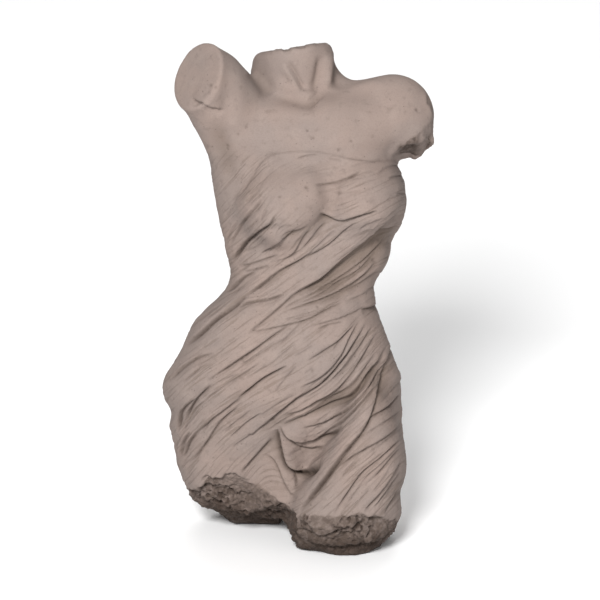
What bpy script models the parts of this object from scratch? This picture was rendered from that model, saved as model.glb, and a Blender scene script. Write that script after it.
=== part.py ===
"""A draped torso in cast stone, broken off at the neck, the arms and the thighs.

The figure is one solid. It stands on the flat undersides of its two thighs, faces -Y, and has its
origin under the middle of its box. Its body is a field: each mass gives, at every point of space, about
how far outside its surface the point lies, and neighbouring masses melt into each other. The surface
where the field is zero is netted with faces, and the folds are then carved into it along its normals.

The form is laid out in parts, shares of the figure's height, as it is seen from the front and a
little above: x across, v up. A place in space is given by x, v and its depth y.
"""

import math

import bpy
import numpy as np

# Sizes in metres
TORSO_HEIGHT = 0.600

# Shares of the height
NET_CELL = 3.4
TRIANGLES = 9400
SIGHT = math.radians(18)
SIGHT_SIN, SIGHT_COS = math.sin(SIGHT), math.cos(SIGHT)
TOWARD_VIEWER = np.array([0.0, -SIGHT_COS, SIGHT_SIN])
BOX_LOW = (-146.0, -78.0, -8.0)
BOX_HIGH = (142.0, 182.0, 556.0)
EDGE_ROUND = 4.0

STONE_COLOUR = (0.40, 0.335, 0.29, 1.0)
STONE_ROUGHNESS = 0.9

# The trunk's outline as seen: height v, left edge, right edge
TRUNK_OUTLINE = [
    (60, -70, 50), (84, -98, 84), (104, -114, 95), (122, -124, 100.5), (132, -127.5, 101.5),
    (145, -128, 101.5), (158, -136, 101), (170, -138.5, 101.5), (180, -136.5, 102),
    (192, -128.5, 98), (208, -119.5, 92), (228, -109.5, 85.5), (238, -104, 81), (248, -94.5, 78),
    (260, -81, 75), (274, -70.5, 76), (288, -70, 84.5), (305, -73, 91), (318, -75, 94),
    (334, -79, 102.5), (357, -84.5, 106), (380, -86.5, 103), (402, -84, 92), (425, -82, 87),
    (445, -70, 82), (460, -52, 62), (474, -34, 34),
]
# and its depth: height v, front, back
TRUNK_DEPTH = [
    (60, 60, 110), (104, 22, 146), (150, -3, 157), (195, -12, 158), (240, -8, 137), (285, 5, 122),
    (335, 7, 134), (385, 11, 150), (430, 20, 154), (452, 38, 147), (474, 80, 125),
]
# The thigh under the standing hip, and the advanced one: height v, left, right
RIGHT_THIGH_OUTLINE = [
    (26, -62, -20), (32, -74, -15), (38, -82.5, -13), (47, -95.5, -12), (53, -105, -12),
    (60, -112, -12), (70, -116.5, -12), (80, -120, -12), (95, -124, -12), (110, -121.5, -12),
    (130, -122, -10), (170, -100, -16), (200, -80, -30),
]
RIGHT_THIGH_DEPTH = [(26, 40, 140), (58, 30, 140), (104, 20, 142), (150, 20, 130), (200, 40, 100)]
LEFT_THIGH_OUTLINE = [
    (-12, 32, 54), (0, 29, 64), (5, 14, 76), (9, 1, 82), (14, -5, 86), (20, -10, 90), (28, -15, 95),
    (40, -13, 101), (66, -5, 102.5), (82, 4, 106), (97, 13, 107), (112, 21, 106), (127, 28, 101),
    (145, 33, 96), (170, 38, 88), (205, 40, 72),
]
LEFT_THIGH_DEPTH = [
    (-12, -8, 84), (18, -22, 92), (75, -29, 106), (125, -26, 119), (170, -8, 110), (205, 20, 96),
]

# Folds: depth, breadth of the cloth that stands over the crease, breadth under it, and the crease's
# points. The upper cloth lies on the right hand, seen along the points.
FRONT_FOLDS = [
    # at the breasts and the ribs, with the hem over the chest first
    (1.8, 6, 9, [(-73, 340), (-38, 394), (-20, 402), (18, 404), (100, 396)]),
    (3.6, 7, 5, [(62, 386), (52, 380), (39, 375), (24, 372), (12, 370)]),
    (6.2, 8, 5, [(76, 348), (57, 342), (42, 338), (30, 338), (21, 344)]),
    (3.9, 6, 5, [(-38, 358), (-46, 348), (-57, 334), (-65, 320), (-69, 312)]),
    (8.3, 7, 5, [(-25, 342), (-30, 332), (-43, 324), (-57, 312), (-68, 296)]),
    (4.7, 6, 5, [(8, 330), (-2, 326), (-16, 318), (-27, 312), (-39, 304)]),
    (3.9, 6, 5, [(-21, 304), (-38, 298), (-50, 294), (-61, 292)]),
    (4.2, 6, 5, [(-44, 286), (-54, 282), (-64, 274), (-73, 266)]),
    # from the left ribs to the right hip
    (3.9, 6, 5, [(54, 334), (42, 326), (30, 316), (18, 308), (6, 300)]),
    (5.2, 7, 5, [(14, 308), (-1, 298), (-19, 288), (-38, 274), (-54, 262)]),
    (5.2, 6, 5, [(-50, 264), (-66, 252), (-84, 240), (-102, 222), (-115, 212)]),
    (10.3, 12, 17, [(102, 348), (66, 318), (43, 298), (22, 280), (-15, 256)]),
    (4.2, 7, 6, [(-4, 266), (-24, 248), (-38, 236), (-52, 224)]),
    (6, 6, 5, [(100, 332), (92, 328), (80, 322), (70, 320)]),
    (4.2, 8, 6, [(92, 320), (78, 306), (58, 290), (38, 278), (15, 268)]),
    (4.7, 6, 5, [(84, 258), (74, 252), (62, 248)]),
    (3.9, 6, 5, [(-16, 264), (-32, 258), (-48, 256), (-62, 253)]),
    (3.6, 6, 5, [(44, 256), (28, 248), (8, 238), (-15, 232), (-38, 228)]),
    # the belly and the standing hip
    (3.6, 6, 5, [(-85, 206), (-104, 200), (-118, 190), (-133, 176)]),
    (4.2, 6, 5, [(-8, 234), (-28, 222), (-47, 208), (-68, 194), (-95, 176)]),
    (6.5, 8, 7, [(-13, 192), (-34, 182), (-50, 170), (-62, 160)]),
    (4.2, 6, 5, [(-58, 162), (-78, 146), (-96, 132), (-108, 120)]),
    (4.9, 6, 5, [(-104, 160), (-114, 152), (-120, 142), (-122, 126)]),
    (5.2, 6, 5, [(-88, 174), (-101, 162), (-109, 150), (-117, 136)]),
    (4.2, 6, 5, [(-110, 126), (-116, 116), (-120, 100)]),
    (4.2, 6, 5, [(-104, 124), (-111, 116), (-118, 100)]),
    (3.9, 6, 5, [(-61, 152), (-80, 136), (-93, 116), (-104, 102), (-114, 92)]),
    (4.4, 7, 6, [(-28, 118), (-40, 106), (-50, 94), (-59, 86)]),
    # from the left hip down to the groin
    (4.4, 6, 5, [(60, 238), (49, 220), (38, 200), (22, 184), (0, 172)]),
    (7.8, 8, 8, [(66, 234), (42, 198), (22, 176), (-4, 160), (-52, 120)]),
    (4.4, 6, 5, [(78, 228), (66, 206), (52, 186), (6, 150), (-18, 140)]),
    (5.7, 6, 5, [(86, 212), (72, 190), (54, 170), (6, 142), (-19, 130)]),
    (3.9, 6, 5, [(88, 198), (72, 176), (52, 154), (28, 138), (0, 130)]),
    (4.4, 6, 5, [(76, 174), (61, 156), (44, 140), (26, 126), (12, 118)]),
    (5.2, 6, 6, [(94, 218), (90, 206), (85, 186), (78, 164)]),
    (7.3, 8, 7, [(41, 134), (28, 124), (12, 116), (-14, 120), (-20, 130)]),
    (3.9, 6, 5, [(23, 111), (9, 108), (-3, 112), (-11, 120)]),
    (8.8, 8, 6, [(20, 98), (11, 89), (-3, 86), (-18, 106), (-22, 128)]),
    (3.9, 6, 5, [(-4, 86), (-5, 68)]),
    # down the advanced thigh
    (7.5, 8, 7, [(86, 186), (64, 130), (46, 108), (28, 84), (-3, 40)]),
    (4.4, 6, 5, [(102, 134), (88, 122), (70, 112), (52, 102), (34, 90)]),
    (3.9, 6, 5, [(102, 164), (88, 150), (70, 140)]),
    (4.4, 6, 5, [(101, 120), (80, 100), (61, 84), (46, 64), (33, 44)]),
    (4.4, 6, 5, [(102, 96), (92, 82), (78, 64), (63, 46)]),
]
# The same behind, laid out straight from the back: x across, z up
BACK_FOLDS = [
    # the hem under the shoulder blades
    (2.4, 8, 5, [(-78, 338), (-30, 344), (20, 360), (66, 384), (98, 398)]),
    # the rings of cloth that go on round from the front
    (3.6, 9, 7, [(84, 352), (30, 318), (-20, 296), (-66, 288)]),
    (5.0, 11, 9, [(86, 312), (40, 276), (-16, 250), (-78, 240)]),
    (4.4, 10, 8, [(80, 276), (36, 240), (-20, 212), (-96, 200)]),
    (4.8, 11, 9, [(92, 236), (50, 198), (-10, 170), (-112, 160)]),
    (4.0, 10, 8, [(98, 190), (60, 158), (14, 136), (-20, 128)]),
    (4.4, 10, 8, [(-30, 142), (-70, 128), (-118, 124)]),
    (4.0, 9, 8, [(98, 140), (70, 108), (40, 84)]),
    (4.0, 9, 8, [(-36, 100), (-76, 84), (-112, 84)]),
]
# Rounded ridges and hollows: height, breadth, points
FRONT_RIDGES = [
    (2.2, 6, [(18, 457), (-8, 465), (-30, 473)]),
    (-2.2, 7, [(18, 449), (-8, 457), (-26, 463)]),
    (2, 6, [(38, 459), (60, 465), (82, 472)]),
    (3.4, 6, [(28, 507.5), (26, 487.5), (22, 464.5)]),
    (-3.4, 6, [(37, 505.5), (36, 483.5), (37, 465.5)]),
    (-2.2, 5, [(-14, 495.5), (-4, 481.5), (8, 460.5)]),
    (-6, 9, [(-48, 486.5), (-38, 474.5), (-26, 458.5)]),
    (-3, 8, [(12, 461), (18, 454)]),
    (3, 7, [(-62, 485.5), (-61, 457.5), (-64, 425.5)]),
    (-3, 8, [(-71, 495.5), (-68, 461.5), (-69, 431.5)]),
    (-3.4, 5, [(-107, 454.5), (-94, 449.5), (-77, 446.5)]),
    (2.4, 4, [(-106, 460.5), (-94, 456.5), (-78, 455.5)]),
]
BACK_RIDGES = [
    (-6.0, 11, [(-2, 500), (-2, 420), (2, 350)]),
    (4.5, 20, [(-46, 455), (-40, 395)]),
    (4.5, 20, [(46, 455), (42, 395)]),
    (-7.0, 10, [(-6, 216), (-8, 170), (-10, 118)]),
]


def place(x, v, y):
    """The point in space seen at (x, v) that lies at depth y."""
    return np.array([x, y, (v - y * SIGHT_SIN) / SIGHT_COS])


# The planes that the limbs broke off along: a point on each, and the way out of the stone
ARM_BREAK = place(-102, 481.5, 30), (-0.72, -0.52, 0.46)
SHOULDER_BREAK = place(114, 413.5, 46), (0.28, -0.50, -0.82)
NECK_BREAK = place(-2, 509.5, 46), (-0.15, 0.30, 0.95)
RIGHT_THIGH_BREAK = place(-62, 80, 30), (-0.10, -0.90, -0.42)
LEFT_THIGH_BREAK = place(48, 38, -26), (0.0, -0.95, -0.31)
# Low down each thigh's break turns under, and between the thighs the cloth broke off too
RIGHT_UNDER = place(-60, 28.4, 92), (-0.05, -0.50, -0.87)
LEFT_UNDER = place(48, 0, 0), (0.0, -0.71, -0.71)
GROIN_BREAK = place(-14, 48, 24), (-0.35, -0.70, -0.63)
TURN_ROUND = 12.0


def through(t, stations):
    """A smooth curve through the stations: a cubic between each two, with the mean slope at each."""
    table = np.asarray(stations, float)
    knots, values = table[:, 0], table[:, 1:]
    slopes = np.gradient(values, knots, axis=0)
    index = np.clip(np.searchsorted(knots, t) - 1, 0, len(knots) - 2)
    span = (knots[index + 1] - knots[index])[..., None]
    share = np.clip((t - knots[index])[..., None] / span, 0, 1)
    rest = 1 - share
    ends = values[index] * rest**2 * (1 + 2 * share) + values[index + 1] * share**2 * (3 - 2 * share)
    return ends + span * share * rest * (slopes[index] * rest - slopes[index + 1] * share)


def column(p, outline, depth, square):
    """A tall mass whose level sections, as seen, are ovals that the stations give. square is 2 for an
    ellipse, and more for a fuller oval."""
    v = p[2] * SIGHT_COS + p[1] * SIGHT_SIN
    sides = through(v, outline)
    faces = through(v, depth)
    dx = p[0] - sides.mean(-1)
    dy = p[1] - faces.mean(-1)
    half_x = (sides[..., 1] - sides[..., 0]) / 2
    half_y = (faces[..., 1] - faces[..., 0]) / 2
    share = ((np.abs(dx) / half_x)**square + (np.abs(dy) / half_y)**square)**(1 / square)
    gap = np.hypot(dx, dy) * (1 - 1 / np.maximum(share, 0.05))
    past_end = np.maximum(v - outline[-1][0], outline[0][0] - v)
    return np.where(past_end > 0, np.hypot(np.maximum(gap, 0), past_end), np.maximum(gap, past_end))


def egg(p, centre, radii):
    """An ellipsoid."""
    q = [(p[k] - centre[k]) / radii[k] for k in range(3)]
    size = np.sqrt(sum(c**2 for c in q)) + 1e-9
    steepness = np.sqrt(sum((q[k] / radii[k])**2 for k in range(3))) + 1e-9
    return size * (size - 1) / steepness


def limb(p, start, end, start_radius, end_radius):
    """A round bar from start to end, tapered, with round ends."""
    run = end - start
    away = [p[k] - start[k] for k in range(3)]
    t = np.clip(sum(away[k] * run[k] for k in range(3)) / (run @ run), 0, 1)
    gap = np.sqrt(sum((away[k] - t * run[k])**2 for k in range(3)))
    return gap - start_radius - (end_radius - start_radius) * t


def beyond(p, point, normal):
    """How far each point lies past the plane through point, along its normal."""
    unit = np.array(normal) / np.linalg.norm(normal)
    return sum((p[k] - point[k]) * unit[k] for k in range(3))


def melt(a, b, reach):
    """Both masses, flowing into each other over the reach."""
    near = np.maximum(reach - np.abs(a - b), 0) / reach
    return np.minimum(a, b) - near**2 * reach / 4


def cut(a, b, reach):
    """What two masses share, with its edges rounded over the reach."""
    near = np.maximum(reach - np.abs(a - b), 0) / reach
    return np.maximum(a, b) + near**2 * reach / 4


def raised_arm(p):
    arm = limb(p, place(-114, 487, 18), place(-80, 459, 48), 38.5, 27)
    shoulder = limb(p, place(-83, 473, 40), place(-55, 439, 58), 29, 33)
    return cut(melt(arm, shoulder, 18), beyond(p, *ARM_BREAK), 2 * EDGE_ROUND)


def lowered_shoulder(p):
    ball = egg(p, place(97, 445, 80), (34.5, 35, 36))
    stump = melt(ball, limb(p, place(104, 436, 80), place(113, 380, 64), 28, 24), 12)
    return cut(stump, beyond(p, *SHOULDER_BREAK), 2 * EDGE_ROUND)


def neck(p):
    bar = limb(p, place(-4, 445, 98), place(-10, 560, 80), 47, 32.5)
    return cut(bar, beyond(p, *NECK_BREAK), 2.5 * EDGE_ROUND)


def upper_body(p):
    f = column(p, TRUNK_OUTLINE, TRUNK_DEPTH, 2.25)
    f = melt(f, raised_arm(p), 26)
    f = melt(f, limb(p, place(-59, 385, 62), place(-78, 440, 48), 19, 25), 26)
    f = melt(f, limb(p, place(40, 425, 50), place(86, 440, 64), 30, 26), 24)
    f = melt(f, lowered_shoulder(p), 9)
    f = melt(f, limb(p, place(12, 455.5, 86), place(84, 453.5, 80), 22, 22), 18)
    f = melt(f, neck(p), 20)
    f = melt(f, egg(p, place(-14, 352, 21), (43, 44, 41)), 18)
    return melt(f, egg(p, place(60, 362, 30), (40, 38, 33)), 22)


def figure(p):
    """The whole body: its upper part, the two thighs with their breaks, and the seat."""
    right = column(p, RIGHT_THIGH_OUTLINE, RIGHT_THIGH_DEPTH, 2.2)
    f = melt(upper_body(p), right, 24)
    broken = cut(f, beyond(p, *RIGHT_THIGH_BREAK), EDGE_ROUND)
    broken = cut(broken, beyond(p, *RIGHT_UNDER), TURN_ROUND)
    low_right = (p[0] < 0) & (p[2] < 120)
    groin = limb(p, place(-16, 118, 38), place(-14, 50, 46), 24, 22)
    groin = cut(groin, beyond(p, *GROIN_BREAK), EDGE_ROUND)
    groin = cut(groin, beyond(p, *RIGHT_UNDER), TURN_ROUND)
    f = melt(np.where(low_right, broken, f), groin, 12)
    left = column(p, LEFT_THIGH_OUTLINE, LEFT_THIGH_DEPTH, 2.3)
    left = cut(left, beyond(p, *LEFT_THIGH_BREAK), EDGE_ROUND)
    left = cut(left, beyond(p, *LEFT_UNDER), TURN_ROUND)
    f = melt(f, left, 14)
    f = melt(f, egg(p, place(-62, 165, 118), (60, 48, 60)), 20)
    f = melt(f, egg(p, place(48, 158, 112), (52, 46, 58)), 20)
    return cut(f, -p[2], EDGE_ROUND)


def net(field, low, high, cell):
    """Vertices and four-sided faces on the surface where the field is zero. Each cell that the surface
    crosses holds one vertex, the mean of the places where its edges cross, and each grid edge that
    crosses is wrapped in a face between its four cells."""
    axes = [np.arange(low[k], high[k], cell) for k in range(3)]
    grid = np.meshgrid(*axes, indexing="ij")
    f = field(grid)
    inside = f < 0
    cells = tuple(n - 1 for n in f.shape)
    total = np.zeros(cells + (3,))
    count = np.zeros(cells)
    for axis in range(3):
        others = [k for k in range(3) if k != axis]
        for step_a in (0, 1):
            for step_b in (0, 1):
                first = [slice(0, n) for n in cells]
                first[others[0]] = slice(step_a, step_a + cells[others[0]])
                first[others[1]] = slice(step_b, step_b + cells[others[1]])
                second = list(first)
                second[axis] = slice(1, 1 + cells[axis])
                first, second = tuple(first), tuple(second)
                crossed = inside[first] != inside[second]
                drop = np.where(crossed, f[first] - f[second], 1.0)
                share = np.where(crossed, f[first] / drop, 0.0)
                for k in range(3):
                    total[..., k] += np.where(crossed, grid[k][first] + (share * cell if k == axis else 0), 0)
                count += crossed
    held = count > 0
    number = np.full(cells, -1)
    number[held] = np.arange(held.sum())
    vertices = total[held] / count[held][:, None]
    faces = []
    for axis in range(3):
        a, b = [(1, 2), (2, 0), (0, 1)][axis]
        start = [slice(1, n) for n in cells]
        start[axis] = slice(0, cells[axis])
        end = list(start)
        end[axis] = slice(1, cells[axis] + 1)
        here, there = inside[tuple(start)], inside[tuple(end)]
        i = np.argwhere(here != there)
        i[:, a] += 1
        i[:, b] += 1
        outward = here[here != there]
        corners = []
        for back_a, back_b in ((1, 1), (0, 1), (0, 0), (1, 0)):
            at = i.copy()
            at[:, a] -= back_a
            at[:, b] -= back_b
            corners.append(number[tuple(at.T)])
        quads = np.stack(corners, 1)
        faces.append(np.where(outward[:, None], quads, quads[:, ::-1]))
    return vertices, np.concatenate(faces)


def slope(field, points, step=0.5):
    """The field and its slope at the points."""
    p = [points[:, k] for k in range(3)]
    sides = []
    for k in range(3):
        ahead, behind = list(p), list(p)
        ahead[k] = p[k] + step
        behind[k] = p[k] - step
        sides.append((field(ahead) - field(behind)) / (2 * step))
    return field(p), np.stack(sides, 1)


def settle(field, points, rounds=3):
    """Moves the points along the slope onto the surface."""
    for _ in range(rounds):
        height, steep = slope(field, points)
        move = height / np.maximum((steep**2).sum(1), 0.1)
        points = points - np.clip(move, -NET_CELL / 2, NET_CELL / 2)[:, None] * steep
    return points


def curve(points, steps=6):
    """A smooth curve through the points, as short straight runs (Catmull-Rom)."""
    p = np.asarray(points, float)
    p = np.vstack([2 * p[0] - p[1], p, 2 * p[-1] - p[-2]])
    t = np.linspace(0, 1, steps, endpoint=False)[:, None]
    runs = []
    for a, b, c, d in zip(p[:-3], p[1:-2], p[2:-1], p[3:]):
        bend = 2 * a - 5 * b + 4 * c - d
        runs.append(0.5 * (2 * b + (c - a) * t + bend * t**2 + (3 * b - a - 3 * c + d) * t**3))
    return np.vstack([*runs, p[-2]])


def beside(seen, points, reach):
    """The numbers of the vertices within reach of the curve, their distance to it, positive on its right
    hand, and how far along it they lie, from 0 to 1."""
    line = curve(points)
    low, high = line.min(0) - reach, line.max(0) + reach
    near = np.where(((seen > low) & (seen < high)).all(1))[0]
    start, run = line[:-1], np.diff(line, axis=0)
    length = np.hypot(*run.T)
    away = seen[near][:, None] - start
    t = np.clip((away * run).sum(2) / length**2, 0, 1)
    away = away - t[..., None] * run
    gap = np.hypot(away[..., 0], away[..., 1])
    row = np.arange(len(near))
    best = gap.argmin(1)
    side = away[row, best, 0] * run[best, 1] - away[row, best, 1] * run[best, 0]
    along = np.concatenate([[0], np.cumsum(length)])
    share = (along[best] + t[row, best] * length[best]) / along[-1]
    return near, gap[row, best] * np.sign(side), share


def swell(share):
    """Rises from 0 to 1 in a curve's first quarter and falls again in its last."""
    lead = np.clip(4 * share, 0, 1)
    tail = np.clip(4 * (1 - share), 0, 1)
    return lead * (2 - lead) * tail * (2 - tail)


def fold_lift(seen, folds, crisp=2.0):
    """How far the folds raise each vertex. Across a crease, the upper cloth falls over a rounded lip
    into the crease, and the lower cloth rises out of it more slowly."""
    lift = np.zeros(len(seen))
    for depth, over, under, points in folds:
        near, side, share = beside(seen, points, 4 * max(over, under))
        r = np.abs(side)
        upper = 0.5 * np.exp(-r / (2.2 * over)) - 0.35 * np.exp(-r / (0.5 * over))
        lower = -0.5 * np.exp(-r / under) - 0.2 * np.exp(-r / (2.5 * under))
        mix = 0.5 + 0.5 * np.tanh(side / crisp)
        lift[near] += depth * swell(share) * (lower + (upper - lower) * mix)
    return lift


def ridge_lift(seen, ridges):
    """How far the rounded ridges and hollows raise each vertex: a bell curve across each."""
    lift = np.zeros(len(seen))
    for height, breadth, points in ridges:
        near, side, share = beside(seen, points, 3 * breadth)
        lift[near] += height * swell(share) * np.exp(-(side / breadth)**2)
    return lift


def ramp(value, low, high):
    t = np.clip((value - low) / (high - low), 0, 1)
    return t * t * (3 - 2 * t)


def carve(points, normals):
    """The points moved along their normals by the carving. It fades out above the base, which stays flat."""
    from_front = np.column_stack([points[:, 0], points[:, 2] * SIGHT_COS + points[:, 1] * SIGHT_SIN])
    from_back = points[:, [0, 2]]
    facing = ramp(normals @ TOWARD_VIEWER, 0.0, 0.3)
    turned = ramp(normals[:, 1], 0.0, 0.4)
    lift = facing * (fold_lift(from_front, FRONT_FOLDS) + ridge_lift(from_front, FRONT_RIDGES))
    lift += turned * (fold_lift(from_back, BACK_FOLDS) + ridge_lift(from_back, BACK_RIDGES))
    return points + normals * (lift * ramp(points[:, 2], 2, 14))[:, None]


def stone():
    material = bpy.data.materials.new("cast_stone")
    material.use_nodes = True
    shader = material.node_tree.nodes["Principled BSDF"]
    shader.inputs["Base Color"].default_value = STONE_COLOUR
    shader.inputs["Roughness"].default_value = STONE_ROUGHNESS
    shader.inputs["Metallic"].default_value = 0.0
    return material


def mesh_of(points, faces):
    mesh = bpy.data.meshes.new("draped_torso")
    mesh.from_pydata(points.tolist(), [], faces.tolist())
    mesh.update()
    return mesh


def thinned(obj, triangles):
    """The object's mesh with no more than the given number of triangles."""
    modifier = obj.modifiers.new("fewer faces", "DECIMATE")
    modifier.ratio = triangles / (2 * len(obj.data.polygons))
    graph = bpy.context.evaluated_depsgraph_get()
    mesh = bpy.data.meshes.new_from_object(obj.evaluated_get(graph))
    obj.modifiers.remove(modifier)
    return mesh


def set_down(mesh):
    """Brings the mesh to its real size and puts the origin under the middle of its box."""
    points = np.empty(len(mesh.vertices) * 3, np.float32)
    mesh.vertices.foreach_get("co", points)
    points = points.reshape(-1, 3).astype(float)
    low, high = points.min(0), points.max(0)
    points -= [(low[0] + high[0]) / 2, (low[1] + high[1]) / 2, low[2]]
    points[points[:, 2] < 0.3, 2] = 0
    points *= TORSO_HEIGHT / (high[2] - low[2])
    mesh.vertices.foreach_set("co", points.ravel().astype(np.float32))
    mesh.update()


def build():
    for old in list(bpy.data.objects):
        bpy.data.objects.remove(old)
    points, faces = net(figure, BOX_LOW, BOX_HIGH, NET_CELL)
    points = settle(figure, points)
    steep = slope(figure, points)[1]
    normals = steep / np.linalg.norm(steep, axis=1)[:, None]
    obj = bpy.data.objects.new("draped_torso", mesh_of(carve(points, normals), faces))
    collection = bpy.data.collections.new("draped_torso")
    bpy.context.scene.collection.children.link(collection)
    collection.objects.link(obj)
    obj.data = thinned(obj, TRIANGLES)
    set_down(obj.data)
    obj.data.materials.append(stone())
    obj.data.shade_smooth()


build()
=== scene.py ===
# %% [markdown]
# # A draped torso in cast stone
#
# The object is one piece of cast stone: a standing figure wrapped in thin, wet-looking cloth, and broken
# off at the neck, the arms and the thighs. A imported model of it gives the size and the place. This
# script makes the surface that is seen: the same body, netted much finer, with every fold, the
# pinholes of the casting and the rough breaks.
#
# A sculptor would do this by hand with a brush. Here the form is worked out by formulas instead, because
# a formula can be read, changed and run again with the same result.

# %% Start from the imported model
import math

import bpy
import numpy as np
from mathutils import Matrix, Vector


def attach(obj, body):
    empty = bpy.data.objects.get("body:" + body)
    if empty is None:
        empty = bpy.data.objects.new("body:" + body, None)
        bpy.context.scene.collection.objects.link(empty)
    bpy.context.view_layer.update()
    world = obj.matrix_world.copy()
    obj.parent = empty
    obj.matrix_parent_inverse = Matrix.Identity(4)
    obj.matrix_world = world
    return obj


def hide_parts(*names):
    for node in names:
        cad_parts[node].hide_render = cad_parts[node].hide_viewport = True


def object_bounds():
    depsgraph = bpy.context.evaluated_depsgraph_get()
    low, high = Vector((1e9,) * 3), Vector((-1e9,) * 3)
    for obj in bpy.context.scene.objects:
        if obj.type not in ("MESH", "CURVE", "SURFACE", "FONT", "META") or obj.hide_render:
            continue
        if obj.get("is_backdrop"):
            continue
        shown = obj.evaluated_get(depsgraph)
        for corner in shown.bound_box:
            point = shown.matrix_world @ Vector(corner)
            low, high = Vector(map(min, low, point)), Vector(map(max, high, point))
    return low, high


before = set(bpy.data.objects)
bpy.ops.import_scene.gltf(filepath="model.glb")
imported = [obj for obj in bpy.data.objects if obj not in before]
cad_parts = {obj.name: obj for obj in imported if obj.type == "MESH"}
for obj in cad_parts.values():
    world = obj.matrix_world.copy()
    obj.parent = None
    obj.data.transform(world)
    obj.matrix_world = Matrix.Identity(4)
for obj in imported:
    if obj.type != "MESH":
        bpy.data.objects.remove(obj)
box_low, box_high = (np.array(corner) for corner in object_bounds())
height = box_high[2] - box_low[2]

# %% [markdown]
# ## Working in parts
#
# Old figure drawing measures a body in parts of its own height. This script does so too: the figure is a
# little over 525 parts tall, and one part is a bit more than a millimetre. Places on the body are
# given as they are seen from the front and a little above: x to the right, v up. With the depth y they
# fix a point in space.

# %% The line of sight and a place seen along it
SIGHT = math.radians(18)
SIGHT_SIN, SIGHT_COS = math.sin(SIGHT), math.cos(SIGHT)
TOWARD_VIEWER = np.array([0.0, -SIGHT_COS, SIGHT_SIN])


def place(x, v, y):
    """The point seen at (x, v) at depth y. Seen from above by the angle of sight, a point's height on
    the picture is v = z cos + y sin, so z = (v - y sin) / cos."""
    return np.array([x, y, (v - y * SIGHT_SIN) / SIGHT_COS])


print("the pit of the neck is at", place(18, 458, 30).round(1), "parts")

# %% [markdown]
# ## Masses that melt into each other
#
# A clay modeller builds a body from masses: a column for the trunk, bars for the limbs, balls for the
# breasts and the seat. Each mass here is a field, a function that gives for every point about how
# far outside the mass it lies, and less than zero inside. The smaller of two fields is both masses
# together, and rounding that choice where the two are nearly equal makes the clay flow.

# %% A smooth curve and a column
def through(t, stations):
    """A smooth curve through rows of (t, values): between two rows a cubic that starts and ends with
    the mean slope there."""
    table = np.asarray(stations, float)
    knots, values = table[:, 0], table[:, 1:]
    slopes = np.gradient(values, knots, axis=0)
    index = np.clip(np.searchsorted(knots, t) - 1, 0, len(knots) - 2)
    span = (knots[index + 1] - knots[index])[..., None]
    share = np.clip((t - knots[index])[..., None] / span, 0, 1)
    rest = 1 - share
    ends = values[index] * rest**2 * (1 + 2 * share) + values[index + 1] * share**2 * (3 - 2 * share)
    return ends + span * share * rest * (slopes[index] * rest - slopes[index + 1] * share)


def column(p, outline, depth, square):
    """A tall mass. At each height v its section is an oval between the outline's left and right and the
    depth's front and back: (|x|/half width)^square + (|y|/half depth)^square = 1."""
    v = p[2] * SIGHT_COS + p[1] * SIGHT_SIN
    sides = through(v, outline)
    faces = through(v, depth)
    dx = p[0] - sides.mean(-1)
    dy = p[1] - faces.mean(-1)
    half_x = (sides[..., 1] - sides[..., 0]) / 2
    half_y = (faces[..., 1] - faces[..., 0]) / 2
    share = ((np.abs(dx) / half_x)**square + (np.abs(dy) / half_y)**square)**(1 / square)
    gap = np.hypot(dx, dy) * (1 - 1 / np.maximum(share, 0.05))
    past_end = np.maximum(v - outline[-1][0], outline[0][0] - v)
    return np.where(past_end > 0, np.hypot(np.maximum(gap, 0), past_end), np.maximum(gap, past_end))


halfway = through(np.array([0.5]), [(0, 0), (1, 1), (2, 4)])[0]
print("a smooth curve through 0, 1 and 4 has", halfway.round(2), "half a step from its start")


# %% An egg, a limb and a plane
def egg(p, centre, radii):
    """An ellipsoid: the length of p over the radii, less 1, scaled to a distance by its own slope."""
    q = [(p[k] - centre[k]) / radii[k] for k in range(3)]
    size = np.sqrt(sum(c**2 for c in q)) + 1e-9
    steepness = np.sqrt(sum((q[k] / radii[k])**2 for k in range(3))) + 1e-9
    return size * (size - 1) / steepness


def limb(p, start, end, start_radius, end_radius):
    """A round tapered bar: the distance to the nearest point of its axis, less the radius there."""
    run = end - start
    away = [p[k] - start[k] for k in range(3)]
    t = np.clip(sum(away[k] * run[k] for k in range(3)) / (run @ run), 0, 1)
    gap = np.sqrt(sum((away[k] - t * run[k])**2 for k in range(3)))
    return gap - start_radius - (end_radius - start_radius) * t


def beyond(p, point, normal):
    """The distance past a plane: the component along its normal of the way from a point on it."""
    unit = np.array(normal) / np.linalg.norm(normal)
    return sum((p[k] - point[k]) * unit[k] for k in range(3))


trial_point = [np.array([3.0]), np.zeros(1), np.zeros(1)]
trial_gap = egg(trial_point, (0, 0, 0), (2, 2, 2))[0]
print("a point 3 parts from the middle of an egg of radius 2 lies", trial_gap.round(2), "outside it")


# %% Melting and cutting
def melt(a, b, reach):
    """The smaller of a and b, less (reach - |a - b|)^2 / 4 reach where they are nearly equal."""
    near = np.maximum(reach - np.abs(a - b), 0) / reach
    return np.minimum(a, b) - near**2 * reach / 4


def cut(a, b, reach):
    """The larger of a and b, plus (reach - |a - b|)^2 / 4 reach where they are nearly equal."""
    near = np.maximum(reach - np.abs(a - b), 0) / reach
    return np.maximum(a, b) + near**2 * reach / 4


print("where two fields are both 1, a melt with a reach of 4 gives", melt(1.0, 1.0, 4.0))

# %% [markdown]
# ## The body
#
# The tables give the body's outline at a few heights, and its front and back at fewer. The breaks are
# planes that cut the limbs, and each is kept by name, because the broken stone is roughened there later.

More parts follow.
